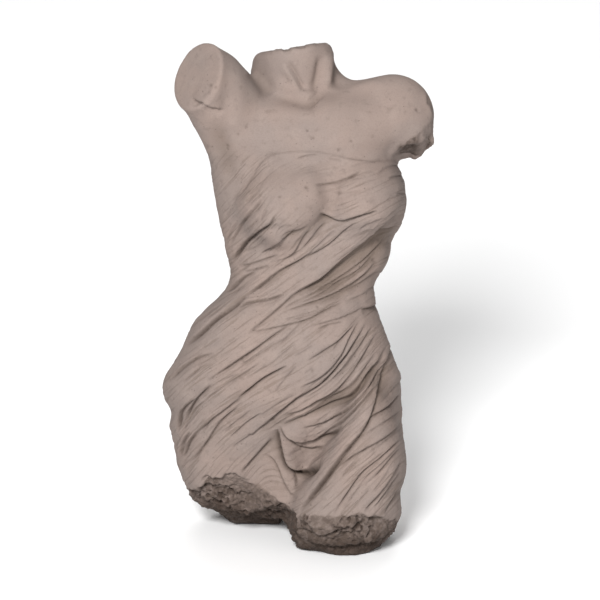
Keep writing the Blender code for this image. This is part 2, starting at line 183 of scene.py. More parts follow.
# %% The trunk: height v, left and right, and height v, front and back
TRUNK_OUTLINE = [
    (60, -70, 50), (84, -98, 84), (104, -114, 95), (122, -124, 100.5), (132, -127.5, 101.5),
    (145, -128, 101.5), (158, -136, 101), (170, -138.5, 101.5), (180, -136.5, 102),
    (192, -128.5, 98), (208, -119.5, 92), (228, -109.5, 85.5), (238, -104, 81), (248, -94.5, 78),
    (260, -81, 75), (274, -70.5, 76), (288, -70, 84.5), (305, -73, 91), (318, -75, 94),
    (334, -79, 102.5), (357, -84.5, 106), (380, -86.5, 103), (402, -84, 92), (425, -82, 87),
    (445, -70, 82), (460, -52, 62), (474, -34, 34),
]
TRUNK_DEPTH = [
    (60, 60, 110), (104, 22, 146), (150, -3, 157), (195, -12, 158), (240, -8, 137), (285, 5, 122),
    (335, 7, 134), (385, 11, 150), (430, 20, 154), (452, 38, 147), (474, 80, 125),
]
print(len(TRUNK_OUTLINE), "heights in the trunk's outline")

# %% The thighs, in the same way
RIGHT_THIGH_OUTLINE = [
    (26, -62, -20), (32, -74, -15), (38, -82.5, -13), (47, -95.5, -12), (53, -105, -12),
    (60, -112, -12), (70, -116.5, -12), (80, -120, -12), (95, -124, -12), (110, -121.5, -12),
    (130, -122, -10), (170, -100, -16), (200, -80, -30),
]
RIGHT_THIGH_DEPTH = [(26, 40, 140), (58, 30, 140), (104, 20, 142), (150, 20, 130), (200, 40, 100)]
LEFT_THIGH_OUTLINE = [
    (-12, 32, 54), (0, 29, 64), (5, 14, 76), (9, 1, 82), (14, -5, 86), (20, -10, 90), (28, -15, 95),
    (40, -13, 101), (66, -5, 102.5), (82, 4, 106), (97, 13, 107), (112, 21, 106), (127, 28, 101),
    (145, 33, 96), (170, 38, 88), (205, 40, 72),
]
LEFT_THIGH_DEPTH = [
    (-12, -8, 84), (18, -22, 92), (75, -29, 106), (125, -26, 119), (170, -8, 110), (205, 20, 96),
]
print(len(RIGHT_THIGH_OUTLINE) + len(LEFT_THIGH_OUTLINE), "heights in the thighs' outlines")

# %% The breaks: a point on each plane, and the way that it faces
EDGE_ROUND = 4.0
TURN_ROUND = 12.0
BREAKS = {
    "arm": (place(-102, 481.5, 30), (-0.72, -0.52, 0.46)),
    "shoulder": (place(114, 413.5, 46), (0.28, -0.50, -0.82)),
    "neck": (place(-2, 509.5, 46), (-0.15, 0.30, 0.95)),
    "right thigh": (place(-62, 80, 30), (-0.10, -0.90, -0.42)),
    "left thigh": (place(48, 38, -26), (0.0, -0.95, -0.31)),
}
# Low down each thigh's break turns under, and between the thighs the cloth broke off too
RIGHT_UNDER = (place(-60, 28.4, 92), (-0.05, -0.50, -0.87))
LEFT_UNDER = (place(48, 0, 0), (0.0, -0.71, -0.71))
GROIN_BREAK = (place(-14, 48, 24), (-0.35, -0.70, -0.63))
print(len(BREAKS), "breaks")

# %% [markdown]
# ## Arms, neck, breasts, thighs and seat
#
# Each limb is cut by its break before it melts into the trunk, as a figure is first modelled whole and
# broken later. The reach of each melt is how softly the two masses join: long at the shoulders, short at
# the lowered stump, where the armpit is a sharp groove. The whole is cut level at the height it stands on.

# %% Above the hips
def upper_body(p):
    """The trunk, the two arm stumps, the shoulders, the neck and the breasts."""
    arm = melt(limb(p, place(-114, 487, 18), place(-80, 459, 48), 38.5, 27),
               limb(p, place(-83, 473, 40), place(-55, 439, 58), 29, 33), 18)
    arm = cut(arm, beyond(p, *BREAKS["arm"]), 1.25 * EDGE_ROUND)
    stump = melt(egg(p, place(97, 445, 80), (34.5, 35, 36)),
                 limb(p, place(104, 436, 80), place(113, 380, 64), 28, 24), 12)
    stump = cut(stump, beyond(p, *BREAKS["shoulder"]), EDGE_ROUND)
    neck = limb(p, place(-4, 445, 98), place(-10, 560, 80), 47, 32.5)
    neck = cut(neck, beyond(p, *BREAKS["neck"]), 2.5 * EDGE_ROUND)
    f = column(p, TRUNK_OUTLINE, TRUNK_DEPTH, 2.25)
    f = melt(f, arm, 26)
    f = melt(f, limb(p, place(-59, 385, 62), place(-78, 440, 48), 19, 25), 26)
    f = melt(f, limb(p, place(40, 425, 50), place(86, 440, 64), 30, 26), 24)
    f = melt(f, stump, 9)
    f = melt(f, limb(p, place(12, 455.5, 86), place(84, 453.5, 80), 22, 22), 18)
    f = melt(f, neck, 20)
    f = melt(f, egg(p, place(-14, 352, 21), (43, 44, 41)), 18)
    return melt(f, egg(p, place(60, 362, 30), (40, 38, 33)), 22)


# %% The whole body
HIP_JOINT_Z = 120


def figure(p):
    """The whole body, cut level at the height that it stands on."""
    f = melt(upper_body(p), column(p, RIGHT_THIGH_OUTLINE, RIGHT_THIGH_DEPTH, 2.2), 24)
    low_right = (p[0] < 0) & (p[2] < HIP_JOINT_Z)
    broken = cut(cut(f, beyond(p, *BREAKS["right thigh"]), EDGE_ROUND), beyond(p, *RIGHT_UNDER), TURN_ROUND)
    groin = limb(p, place(-16, 118, 38), place(-14, 50, 46), 24, 22)
    groin = cut(cut(groin, beyond(p, *GROIN_BREAK), EDGE_ROUND), beyond(p, *RIGHT_UNDER), TURN_ROUND)
    f = melt(np.where(low_right, broken, f), groin, 12)
    left = column(p, LEFT_THIGH_OUTLINE, LEFT_THIGH_DEPTH, 2.3)
    left = cut(cut(left, beyond(p, *BREAKS["left thigh"]), EDGE_ROUND), beyond(p, *LEFT_UNDER), TURN_ROUND)
    f = melt(f, left, 14)
    f = melt(f, egg(p, place(-62, 165, 118), (60, 48, 60)), 20)
    f = melt(f, egg(p, place(48, 158, 112), (52, 46, 58)), 20)
    return cut(f, -p[2], EDGE_ROUND)


navel = [np.array([c]) for c in place(10, 250, 60)]
print("a point inside the belly has the field", figure(navel)[0].round(1))

# %% [markdown]
# ## A skin on the zero surface
#
# To turn a field into faces, lay a grid through it. A grid edge that goes from inside to outside crosses
# the surface. Each cell of the grid that the surface passes gets one vertex, and each crossed edge
# gets one face between its four cells. This is called surface nets. It makes nearly square faces, which
# divide and shade well.

# %% Surface nets
def net(field, low, high, cell):
    """Vertices and four-sided faces. A vertex is the mean of the crossings on its cell's edges, and a
    crossing lies where the field, taken as straight along the edge, is zero."""
    axes = [np.arange(low[k], high[k], cell) for k in range(3)]
    grid = np.meshgrid(*axes, indexing="ij")
    f = field(grid)
    inside = f < 0
    cells = tuple(n - 1 for n in f.shape)
    total = np.zeros(cells + (3,), np.float32)
    count = np.zeros(cells, np.int8)
    for axis in range(3):
        others = [k for k in range(3) if k != axis]
        for step_a in (0, 1):
            for step_b in (0, 1):
                first = [slice(0, n) for n in cells]
                first[others[0]] = slice(step_a, step_a + cells[others[0]])
                first[others[1]] = slice(step_b, step_b + cells[others[1]])
                second = list(first)
                second[axis] = slice(1, 1 + cells[axis])
                first, second = tuple(first), tuple(second)
                crossed = inside[first] != inside[second]
                drop = np.where(crossed, f[first] - f[second], 1.0)
                share = np.where(crossed, f[first] / drop, 0.0)
                for k in range(3):
                    total[..., k] += np.where(crossed, grid[k][first] + (share * cell if k == axis else 0), 0)
                count += crossed
    held = count > 0
    number = np.full(cells, -1)
    number[held] = np.arange(held.sum())
    vertices = total[held].astype(float) / count[held][:, None]
    faces = []
    for axis in range(3):
        a, b = [(1, 2), (2, 0), (0, 1)][axis]
        start = [slice(1, n) for n in cells]
        start[axis] = slice(0, cells[axis])
        end = list(start)
        end[axis] = slice(1, cells[axis] + 1)
        here, there = inside[tuple(start)], inside[tuple(end)]
        at = np.argwhere(here != there)
        at[:, a] += 1
        at[:, b] += 1
        outward = here[here != there]
        corners = []
        for back_a, back_b in ((1, 1), (0, 1), (0, 0), (1, 0)):
            corner = at.copy()
            corner[:, a] -= back_a
            corner[:, b] -= back_b
            corners.append(number[tuple(corner.T)])
        quads = np.stack(corners, 1)
        faces.append(np.where(outward[:, None], quads, quads[:, ::-1]))
    return vertices, np.concatenate(faces)


# %% Finer faces
def halve(vertices, faces):
    """Each four-sided face becomes four, with new vertices at the middle of its edges and its own middle."""
    edges = np.stack([faces, np.roll(faces, -1, 1)], 2).reshape(-1, 2)
    edges = np.sort(edges, 1)
    key = edges[:, 0] * len(vertices) + edges[:, 1]
    unique, first, back = np.unique(key, return_index=True, return_inverse=True)
    middle = vertices[edges[first]].mean(1)
    on_edge = back.reshape(-1, 4) + len(vertices)
    centre = np.arange(len(faces)) + len(vertices) + len(unique)
    parts = [np.stack([faces[:, k], on_edge[:, k], centre, on_edge[:, k - 1]], 1) for k in range(4)]
    return np.vstack([vertices, middle, vertices[faces].mean(1)]), np.concatenate(parts)


# %% Points moved onto the surface
def slope(field, points, step=0.5):
    """The field at the points, and its slope by central differences."""
    p = [points[:, k] for k in range(3)]
    sides = []
    for k in range(3):
        ahead, behind = list(p), list(p)
        ahead[k] = p[k] + step
        behind[k] = p[k] - step
        sides.append((field(ahead) - field(behind)) / (2 * step))
    return field(p), np.stack(sides, 1)


def settle(field, points, most):
    """Newton's step onto the surface: back along the slope by the field over the slope's square, and
    by no more than the given length."""
    value, steep = slope(field, points)
    move = value / np.maximum((steep**2).sum(1), 0.1)
    return points - np.clip(move, -most, most)[:, None] * steep, steep


# %% Net the body
NET_CELL = 2.5
GRID_LOW, GRID_HIGH = (-146.0, -78.0, -8.0), (142.0, 182.0, 556.0)
skin, faces = net(figure, GRID_LOW, GRID_HIGH, NET_CELL)
skin, _ = settle(figure, skin, NET_CELL)
skin, _ = settle(figure, skin, NET_CELL)
skin, faces = halve(skin, faces)
skin, _ = settle(figure, skin, NET_CELL)
skin, steep = settle(figure, skin, NET_CELL)
normals = steep / np.linalg.norm(steep, axis=1)[:, None]
print(len(skin), "points on the skin")

# %% [markdown]
# ## Folds
#
# Wet cloth clings and gathers into creases. Across a crease the cloth above rolls over a lip and drops
# into it, and the cloth below rises out of it more slowly. So one fold is a curve, drawn as it is
# seen, and a profile across it. The profile depends only on the distance to the curve, and swells in
# and out along it, as a stroke of a brush does. A few fine waves run beside each crease.

# %% A curve through points
def curve(points, steps=6):
    """Catmull-Rom: through the points, with at each the slope of the line between its neighbours."""
    p = np.asarray(points, float)
    p = np.vstack([2 * p[0] - p[1], p, 2 * p[-1] - p[-2]])
    t = np.linspace(0, 1, steps, endpoint=False)[:, None]
    runs = []
    for a, b, c, d in zip(p[:-3], p[1:-2], p[2:-1], p[3:]):
        bend = 2 * a - 5 * b + 4 * c - d
        runs.append(0.5 * (2 * b + (c - a) * t + bend * t**2 + (3 * b - a - 3 * c + d) * t**3))
    return np.vstack([*runs, p[-2]])


print("4 points give a curve of", len(curve([(0, 0), (9, 3), (20, 4), (30, 0)])), "points")


# %% How far beside a curve, and how far along it
def beside(seen, points, reach):
    """For the vertices within reach of the curve: their numbers, the distance to the curve's nearest
    straight run, positive on its right hand, and how far along it that is, from 0 to 1."""
    line = curve(points)
    low, high = line.min(0) - reach, line.max(0) + reach
    near = np.where(((seen > low) & (seen < high)).all(1))[0]
    start, run = line[:-1], np.diff(line, axis=0)
    length = np.hypot(*run.T)
    away = seen[near][:, None] - start
    t = np.clip((away * run).sum(2) / length**2, 0, 1)
    away = away - t[..., None] * run
    gap = np.hypot(away[..., 0], away[..., 1])
    row = np.arange(len(near))
    best = gap.argmin(1)
    side = away[row, best, 0] * run[best, 1] - away[row, best, 1] * run[best, 0]
    along = np.concatenate([[0], np.cumsum(length)])
    share = (along[best] + t[row, best] * length[best]) / along[-1]
    return near, gap[row, best] * np.sign(side), share


def swell(share, lead=0.26):
    """Rises as a parabola from 0 to 1 over the curve's first stretch, and falls so over its last."""
    first = np.clip(share / lead, 0, 1)
    last = np.clip((1 - share) / lead, 0, 1)
    return first * (2 - first) * last * (2 - last)


print("a tenth of the way along, a stroke has", round(float(swell(0.1)), 2), "of its strength")

# %% The profile of a fold
BOLD = 1.3


def fold_lift(seen, folds, crisp=0.5):
    """The height of the folds, and how dark their creases are coloured: painted shade, with some dirt. Above
    a crease the profile is
    0.5 e^(-r/2.2a) - 0.35 e^(-r/0.5a), below it -0.5 e^(-r/b) - 0.2 e^(-r/2.5b), and a steep tanh
    passes from one to the other. A narrow bell curve cuts the crease itself, less under broad rolls."""
    lift = np.zeros(len(seen))
    dirt_and_shade = np.zeros(len(seen))
    for number, (depth, over, under, points) in enumerate(folds):
        near, side, share = beside(seen, points, 4 * max(over, under))
        r = np.abs(side)
        upper = 0.5 * np.exp(-r / (2.2 * over)) - 0.35 * np.exp(-r / (0.5 * over))
        lower = -0.5 * np.exp(-r / under) - 0.2 * np.exp(-r / (2.5 * under))
        mix = 0.5 + 0.5 * np.tanh(side / crisp)
        notch = np.exp(-((side + 0.4) / 0.9)**2)
        wave = sum(np.cos(side * rate + turn * number) for rate, turn in ((1.45, 1), (0.83, 2.1), (2.3, 4)))
        ripple = 0.07 * wave * np.exp(-r / (1.6 * max(over, under)))
        power = swell(share)
        sharp = min(1, 8 / over)**1.5
        lift[near] += BOLD * depth * power * (lower + (upper - lower) * mix - 0.16 * sharp * notch)
        lift[near] += min(depth, 3) * power * ripple
        crease = np.exp(-((side + 0.4) / (0.85 + 0.06 * depth))**2)
        dirt_and_shade[near] = np.maximum(dirt_and_shade[near], power * sharp * np.clip((depth - 0.5) / 3.8, 0, 1) * crease)
    return lift, dirt_and_shade


# %% Fine folds between two others
def between(first, last, count, depth, over, under):
    """Fine folds between two others. Each is a blend of both, (1 - t) first + t last, and runs over
    its own stretch of it, which a sine of its number picks."""
    share = np.linspace(0, 1, 9)
    ends = []
    for points in (first, last):
        line = curve(points)
        along = np.concatenate([[0], np.cumsum(np.hypot(*np.diff(line, axis=0).T))])
        ends.append(np.column_stack([np.interp(share * along[-1], along, line[:, k]) for k in range(2)]))
    folds = []
    for number in range(count):
        t = (number + 1) / (count + 1) + 0.05 * math.sin(7 * number + 2)
        blend = (1 - t) * ends[0] + t * ends[1]
        start = int(2 + 2 * math.sin(5 * number + count))
        stop = int(7 + 1.9 * math.sin(3 * number + 2 * count))
        strength = depth * (0.75 + 0.35 * math.sin(11 * number + 1))
        folds.append((strength, over, under, blend[start:stop + 1]))
    return folds


# %% Soft ridges
def ridge_lift(seen, ridges):
    """Rounded ridges, and hollows where the height is negative: a bell curve across each."""
    lift = np.zeros(len(seen))
    for tall, breadth, points in ridges:
        near, side, share = beside(seen, points, 3 * breadth)
        lift[near] += tall * swell(share, 0.3) * np.exp(-(side / breadth)**2)
    return lift


# %% [markdown]
# ## The drawing of the folds
#
# A carver first draws the main lines on the stone. The lists below are that drawing, one row to a fold:
# its depth, how broad the cloth stands over the crease and under it, and the crease's points as seen. A
# tight bust fold is narrow and deep, and the roll from the left ribs to the right hip is broad and soft.
# They run from the wearer's left down to the right hip, and gather in the groin and on the thigh.

# %% Over the bust: depth, breadth over the crease, breadth under it, points
BUST_FOLDS = [
    (1.4, 5, 9, [(-73, 340.5), (-54, 369), (-38, 393.5), (-20, 402.5), (18, 403.5), (60, 395.5), (100, 396)]),
    (1.2, 3, 3, [(84, 398.5), (62, 393.5), (48, 389.5)]),
    (1.1, 4, 3, [(42, 395.5), (28, 398)]),
    (1.5, 4, 3, [(18, 402.5), (6, 400.5), (-4, 397.5)]),
    (0.9, 3, 3, [(-13, 398.5), (-26, 394.5), (-35, 388.5)]),
    (0.8, 3, 3, [(-20, 405), (-30, 401.5), (-38, 397.5)]),
    (2.8, 7, 5, [(62, 386.5), (52, 380.5), (39, 375), (24, 372), (12, 370.5)]),
    (1.3, 5, 4, [(64, 366.5), (45, 363.5), (32, 364.5)]),
    (6.4, 7.5, 4.5, [(76, 347.5), (57, 341.5), (42, 337.5), (30, 338), (21, 344)]),
    (1.6, 4, 3, [(104, 383.5), (88, 379.5)]),
    (1.4, 3, 3, [(102, 393.5), (86, 389.5), (76, 381.5)]),
    (1.2, 3, 3, [(104, 365.5), (96, 363.5)]),
    (1.3, 4, 4, [(-40, 388.5), (-50, 379.5), (-57, 367.5), (-60, 360.5)]),
    (1.8, 3, 3, [(-62, 354.5), (-67, 349.5), (-74, 340.5)]),
    (1.4, 3, 2.5, [(-47, 363.5), (-50, 357.5), (-53, 353.5)]),
    (3, 5, 3.5, [(-38, 358.5), (-46, 347.5), (-57, 333.5), (-65, 320.5), (-69, 312.5)]),
    (1.6, 3, 2.5, [(-61, 336.5), (-68, 326.5), (-72, 318.5)]),
    (1.8, 3, 2.5, [(-34, 347.5), (-36, 342.5), (-39, 335.5)]),
    (1.2, 3, 3, [(-38, 343.5), (-46, 331.5), (-54, 321.5)]),
    (6.4, 7, 3.2, [(-25, 341.5), (-30, 332.5), (-43, 324), (-57, 311.5), (-68, 295.5)]),
    (1.6, 3, 2.5, [(-23, 333.5), (-30, 326.5)]),
    (1.8, 3, 3, [(-32, 321.5), (-42, 311.5), (-58, 305.5)]),
    (1.4, 3, 3, [(-38, 321.5), (-48, 313.5), (-54, 306.5)]),
    (3.6, 6, 4.5, [(8, 329.5), (-2, 325.5), (-16, 317.5), (-27, 311.5), (-39, 303.5)]),
    (1, 3, 2.5, [(-8, 332.5), (-16, 330.5), (-23, 326.5)]),
    (2.6, 4, 3, [(11, 325.5), (3, 317.5), (-4, 309.5), (-12, 301.5)]),
    (2, 4, 3, [(27, 333.5), (14, 321.5), (3, 310.5)]),
    (3, 5, 3, [(-21, 303.5), (-38, 297.5), (-50, 293.5), (-61, 292)]),
    (2.4, 4, 2.5, [(-30, 292.5), (-42, 289), (-55, 286)]),
    (1.2, 3, 3, [(0, 308.5), (-16, 299.5), (-32, 294.5)]),
    (3.2, 5, 3.5, [(-44, 286.5), (-54, 281.5), (-64, 273.5), (-73, 265.5)]),
]
print(len(BUST_FOLDS), "folds over the bust")

# %% Round the waist
WAIST_FOLDS = [
    (3, 6, 4, [(54, 334.5), (42, 326.5), (30, 315.5), (18, 307.5), (6, 300.5)]),
    (1.6, 4, 3, [(36, 329.5), (22, 317.5), (9, 306.5)]),
    (1.8, 4, 3, [(81, 341.5), (70, 336.5), (57, 329.5)]),
    (4, 7, 5, [(14, 308.5), (-1, 297.5), (-19, 287.5), (-38, 273.5), (-54, 261.5)]),
    (4, 6, 4.5, [(-50, 264.5), (-66, 252.5), (-84, 239.5), (-102, 222.5), (-115, 211.5)]),
    (9.5, 14, 12, [(102, 348.5), (84, 335.5), (66, 317.5), (43, 298.5), (22, 279.5), (0, 267.5),
                   (-15, 256.5)]),
    (3.2, 7, 6, [(-4, 265.5), (-24, 247.5), (-38, 235.5), (-52, 224.5)]),
    (4.6, 6, 5, [(100, 332.5), (92, 327.5), (80, 322.5), (70, 319.5)]),
    (3.2, 8, 6, [(92, 319.5), (78, 305.5), (58, 290.5), (38, 277.5), (15, 267.5)]),
    (2.6, 5, 3.5, [(82, 304.5), (62, 287.5), (40, 274.5), (16, 261.5), (-2, 254.5)]),
    (1.8, 4, 3, [(45, 276.5), (22, 268.5), (-2, 257.5), (-18, 248.5)]),
    (2.6, 5, 3.5, [(80, 295.5), (60, 278.5), (37, 264.5), (8, 254.5), (-20, 244.5)]),
    (2, 4, 3, [(79, 285.5), (62, 273.5), (48, 266.5)]),
    (1.4, 3, 3, [(78, 273.5), (62, 262.5), (46, 256.5)]),
    (3.6, 5, 5, [(84, 257.5), (74, 251.5), (62, 248.5)]),
    (1.6, 3, 3, [(40, 266.5), (18, 256.5), (0, 252.5)]),
    (3, 6, 4, [(-16, 263.5), (-32, 258.5), (-48, 256.5), (-62, 253)]),
    (2.8, 5, 3.5, [(44, 255.5), (28, 248.5), (8, 238.5), (-15, 232.5), (-38, 227.5)]),
    (1.8, 4, 3, [(-22, 230.5), (-38, 227.5), (-52, 226.5)]),
    (2.2, 5, 4, [(66, 252.5), (50, 243.5), (32, 237.5), (10, 231.5)]),
    (2.4, 5, 6, [(44, 236.5), (30, 233.5), (16, 228.5)]),
    (1.8, 3, 2.5, [(5, 238.5), (-8, 226.5), (-20, 213.5)]),
    (1.2, 3, 2.5, [(0, 230.5), (-16, 216.5), (-32, 204.5)]),
]
print(len(WAIST_FOLDS), "folds round the waist")

# %% Over the right hip
HIP_FOLDS = [
    (2.8, 6, 5, [(-85, 205.5), (-104, 199.5), (-118, 190.5), (-133, 175.5)]),
    (1.8, 4, 3, [(-101, 190.5), (-110, 182.5), (-118, 175.5)]),
    (3.2, 6, 5, [(-8, 234.5), (-28, 221.5), (-47, 207.5), (-68, 193.5), (-95, 175.5)]),
    (2.2, 4, 3, [(-38, 214.5), (-57, 201.5), (-78, 186.5)]),
    (1.8, 3, 3, [(-12, 221.5), (-30, 210.5), (-47, 199.5), (-64, 191.5)]),
    (1.8, 4, 3, [(-38, 197.5), (-58, 183.5), (-78, 170.5), (-96, 157.5)]),
    (1.6, 3, 3, [(-60, 185.5), (-84, 174.5), (-102, 160.5)]),
    (1.2, 3, 3, [(-4, 215.5), (-20, 201.5), (-38, 189.5)]),
    (5, 8, 7, [(-13, 192.5), (-34, 181.5), (-50, 169.5), (-62, 159.5)]),
    (3.2, 6, 5, [(-58, 161.5), (-78, 146.5), (-96, 131.5), (-108, 120.5)]),
    (1.8, 3, 2.5, [(-4, 191.5), (-14, 180.5), (-25, 166.5)]),
    (1.2, 3, 2, [(13, 191.5), (4, 185.5)]),
    (1.4, 3, 2.5, [(13, 213.5), (3, 206.5), (-6, 201.5)]),
    (2.6, 6, 5, [(56, 235.5), (40, 219.5), (22, 206.5), (6, 196.5)]),
    (1.8, 4, 3, [(49, 229.5), (41, 220.5), (32, 207.5)]),
    (3.8, 5, 4, [(-104, 160.5), (-114, 151.5), (-120, 141.5), (-122, 125.5)]),
    (4, 5, 4, [(-88, 174.5), (-101, 161.5), (-109, 150.5), (-117, 136.5)]),
    (3.2, 4, 3, [(-110, 126.5), (-116, 116.5), (-120, 100.5)]),
    (3.2, 4, 3, [(-104, 123.5), (-111, 115.5), (-118, 100.5)]),
    (3, 5, 4, [(-61, 151.5), (-80, 135.5), (-93, 116.5), (-104, 102.5), (-114, 92.5)]),
    (1.6, 4, 3, [(-48, 149.5), (-64, 136.5), (-76, 124.5)]),
    (2.4, 7, 5, [(-38, 146.5), (-52, 136.5), (-70, 120.5)]),
    (1.6, 5, 4, [(-4, 165.5), (-24, 153.5), (-42, 141.5)]),
    (3.4, 7, 6, [(-28, 118.5), (-40, 105.5), (-50, 94.5), (-59, 85.5)]),
    (1.4, 3, 3, [(-42, 125.5), (-54, 119.5), (-68, 110.5)]),
]
print(len(HIP_FOLDS), "folds over the right hip")

# %% Into the groin
GROIN_FOLDS = [
    (3.4, 6, 5, [(60, 237.5), (49, 219.5), (38, 200.5), (22, 183.5), (0, 171.5)]),
    (6, 8, 8, [(66, 234.5), (54, 215.5), (42, 197.5), (22, 175.5), (-4, 159.5), (-28, 139.5), (-52, 119.5)]),
    (2.4, 4, 3, [(72, 231.5), (60, 211.5), (46, 191.5), (28, 173.5)]),
    (3.4, 6, 5, [(78, 227.5), (66, 205.5), (52, 185.5), (34, 165.5), (6, 149.5), (-18, 140.5)]),
    (4.4, 6, 5, [(86, 211.5), (72, 189.5), (54, 169.5), (32, 152.5), (6, 141.5), (-19, 130.5)]),
    (2.6, 4, 3, [(76, 205.5), (60, 183.5), (42, 166.5), (22, 153.5)]),
    (1.8, 3, 3, [(85, 203.5), (68, 181.5), (50, 163.5), (34, 151.5)]),
    (3, 5, 4, [(88, 197.5), (72, 175.5), (52, 154.5), (28, 137.5), (0, 129.5)]),
    (3.4, 5, 3.5, [(76, 173.5), (61, 156.5), (44, 140.5), (26, 125.5), (12, 117.5)]),
    (1.4, 3, 3, [(82, 179.5), (66, 157.5), (50, 139.5), (34, 125.5)]),
    (4, 6, 6, [(94, 217.5), (90, 205.5), (85, 185.5), (78, 163.5)]),
    (5.6, 8, 7, [(41, 133.5), (28, 123.5), (12, 116.5), (-3, 115.5), (-14, 120.5), (-20, 130.5)]),
    (3, 5, 4, [(23, 111), (9, 107.5), (-3, 111.5), (-11, 119.5)]),
    (8.5, 7, 5, [(20, 98.5), (11, 89), (-3, 86), (-13, 91.5), (-18, 105.5), (-22, 127.5)]),
    (2.4, 4, 3, [(-1, 61), (-9, 63.5), (-16, 74.5), (-22, 87.5), (-28, 97.5), (-36, 101.5)]),
    (3, 4, 4, [(-4, 85.5), (-5, 67.5)]),
]
print(len(GROIN_FOLDS), "folds into the groin")

# %% Down the left thigh
THIGH_FOLDS = [
    (5.8, 8, 7, [(86, 185.5), (78, 159.5), (64, 129.5), (46, 107.5), (28, 84.5), (10, 60.5), (-3, 40.5)]),
    (3.4, 6, 4, [(102, 133.5), (88, 122.5), (70, 111.5), (52, 101.5), (34, 89.5)]),
    (3, 4, 3, [(102, 164.5), (88, 150.5), (70, 140.5)]),
    (1.6, 4, 3, [(103, 147.5), (84, 135.5), (60, 120.5)]),
    (3.4, 6, 4, [(101, 119.5), (80, 100.5), (61, 84.5), (46, 63.5), (33, 43.5)]),
    (2.2, 4, 3, [(102, 110.5), (88, 95.5), (74, 79.5)]),
    (3.4, 5, 3.5, [(102, 96.5), (92, 81.5), (78, 63.5), (63, 45.5)]),
    (2.4, 4, 3, [(101, 86.5), (89, 68.5), (74, 50.5)]),
    (2, 4, 3, [(103, 73.5), (93, 57.5), (84, 43.5)]),
    (1.4, 3, 3, [(72, 117.5), (54, 97.5), (38, 77.5)]),
]
print(len(THIGH_FOLDS), "folds down the left thigh")

# %% Fine folds fill the stretches between pairs of large ones, named by their places in the lists
FINE_FOLDS = (
    between(BUST_FOLDS[24][3], WAIST_FOLDS[3][3], 5, 1.3, 3, 2.5)
    + between(WAIST_FOLDS[9][3], WAIST_FOLDS[11][3], 3, 1.2, 3, 2.5)
    + between(WAIST_FOLDS[11][3], WAIST_FOLDS[17][3], 5, 1.5, 3, 2.5)
    + between(HIP_FOLDS[2][3], HIP_FOLDS[8][3], 6, 1.2, 3, 2.5)
    + between(HIP_FOLDS[15][3], HIP_FOLDS[19][3], 4, 1.5, 3, 2.5)
    + between(HIP_FOLDS[9][3], HIP_FOLDS[21][3], 4, 1.2, 3, 2.5)
    + between(GROIN_FOLDS[0][3], GROIN_FOLDS[1][3], 3, 1.5, 3, 2.5)
    + between(GROIN_FOLDS[1][3], GROIN_FOLDS[4][3], 6, 1.8, 3, 2.5)
    + between(GROIN_FOLDS[4][3], GROIN_FOLDS[8][3], 5, 1.6, 3, 2.5)
    + between(THIGH_FOLDS[1][3], THIGH_FOLDS[4][3], 4, 1.2, 3, 3)
    + between(THIGH_FOLDS[4][3], THIGH_FOLDS[6][3], 4, 1.4, 3, 3)
    + between(THIGH_FOLDS[6][3], THIGH_FOLDS[8][3], 3, 1.4, 3, 3)
)
FRONT_FOLDS = BUST_FOLDS + WAIST_FOLDS + HIP_FOLDS + GROIN_FOLDS + THIGH_FOLDS + FINE_FOLDS
print(len(FRONT_FOLDS), "folds in front")

# %% [markdown]
# ## Ridges, hollows and the back
#
# Collarbones, the neck's two cords and the groin's hollow are too soft for folds: a bell curve across a
# stroke makes them. The back can't be seen in the picture, so it gets a few plain rolls that go on round
# from the front, a hem under the shoulder blades, and the groove of the spine.

# %% Folds behind, laid out straight from the back: x across, z up
BACK_FOLDS = [
    (2.4, 8, 5, [(-78, 338), (-30, 344), (20, 360), (66, 384), (98, 398)]),
    (3.6, 9, 7, [(84, 352), (30, 318), (-20, 296), (-66, 288)]),
    (5.0, 11, 9, [(86, 312), (40, 276), (-16, 250), (-78, 240)]),
    (4.4, 10, 8, [(80, 276), (36, 240), (-20, 212), (-96, 200)]),
    (4.8, 11, 9, [(92, 236), (50, 198), (-10, 170), (-112, 160)]),
    (4.0, 10, 8, [(98, 190), (60, 158), (14, 136), (-20, 128)]),
    (4.4, 10, 8, [(-30, 142), (-70, 128), (-118, 124)]),
    (4.0, 9, 8, [(98, 140), (70, 108), (40, 84)]),
    (4.0, 9, 8, [(-36, 100), (-76, 84), (-112, 84)]),
]
print(len(BACK_FOLDS), "folds behind")

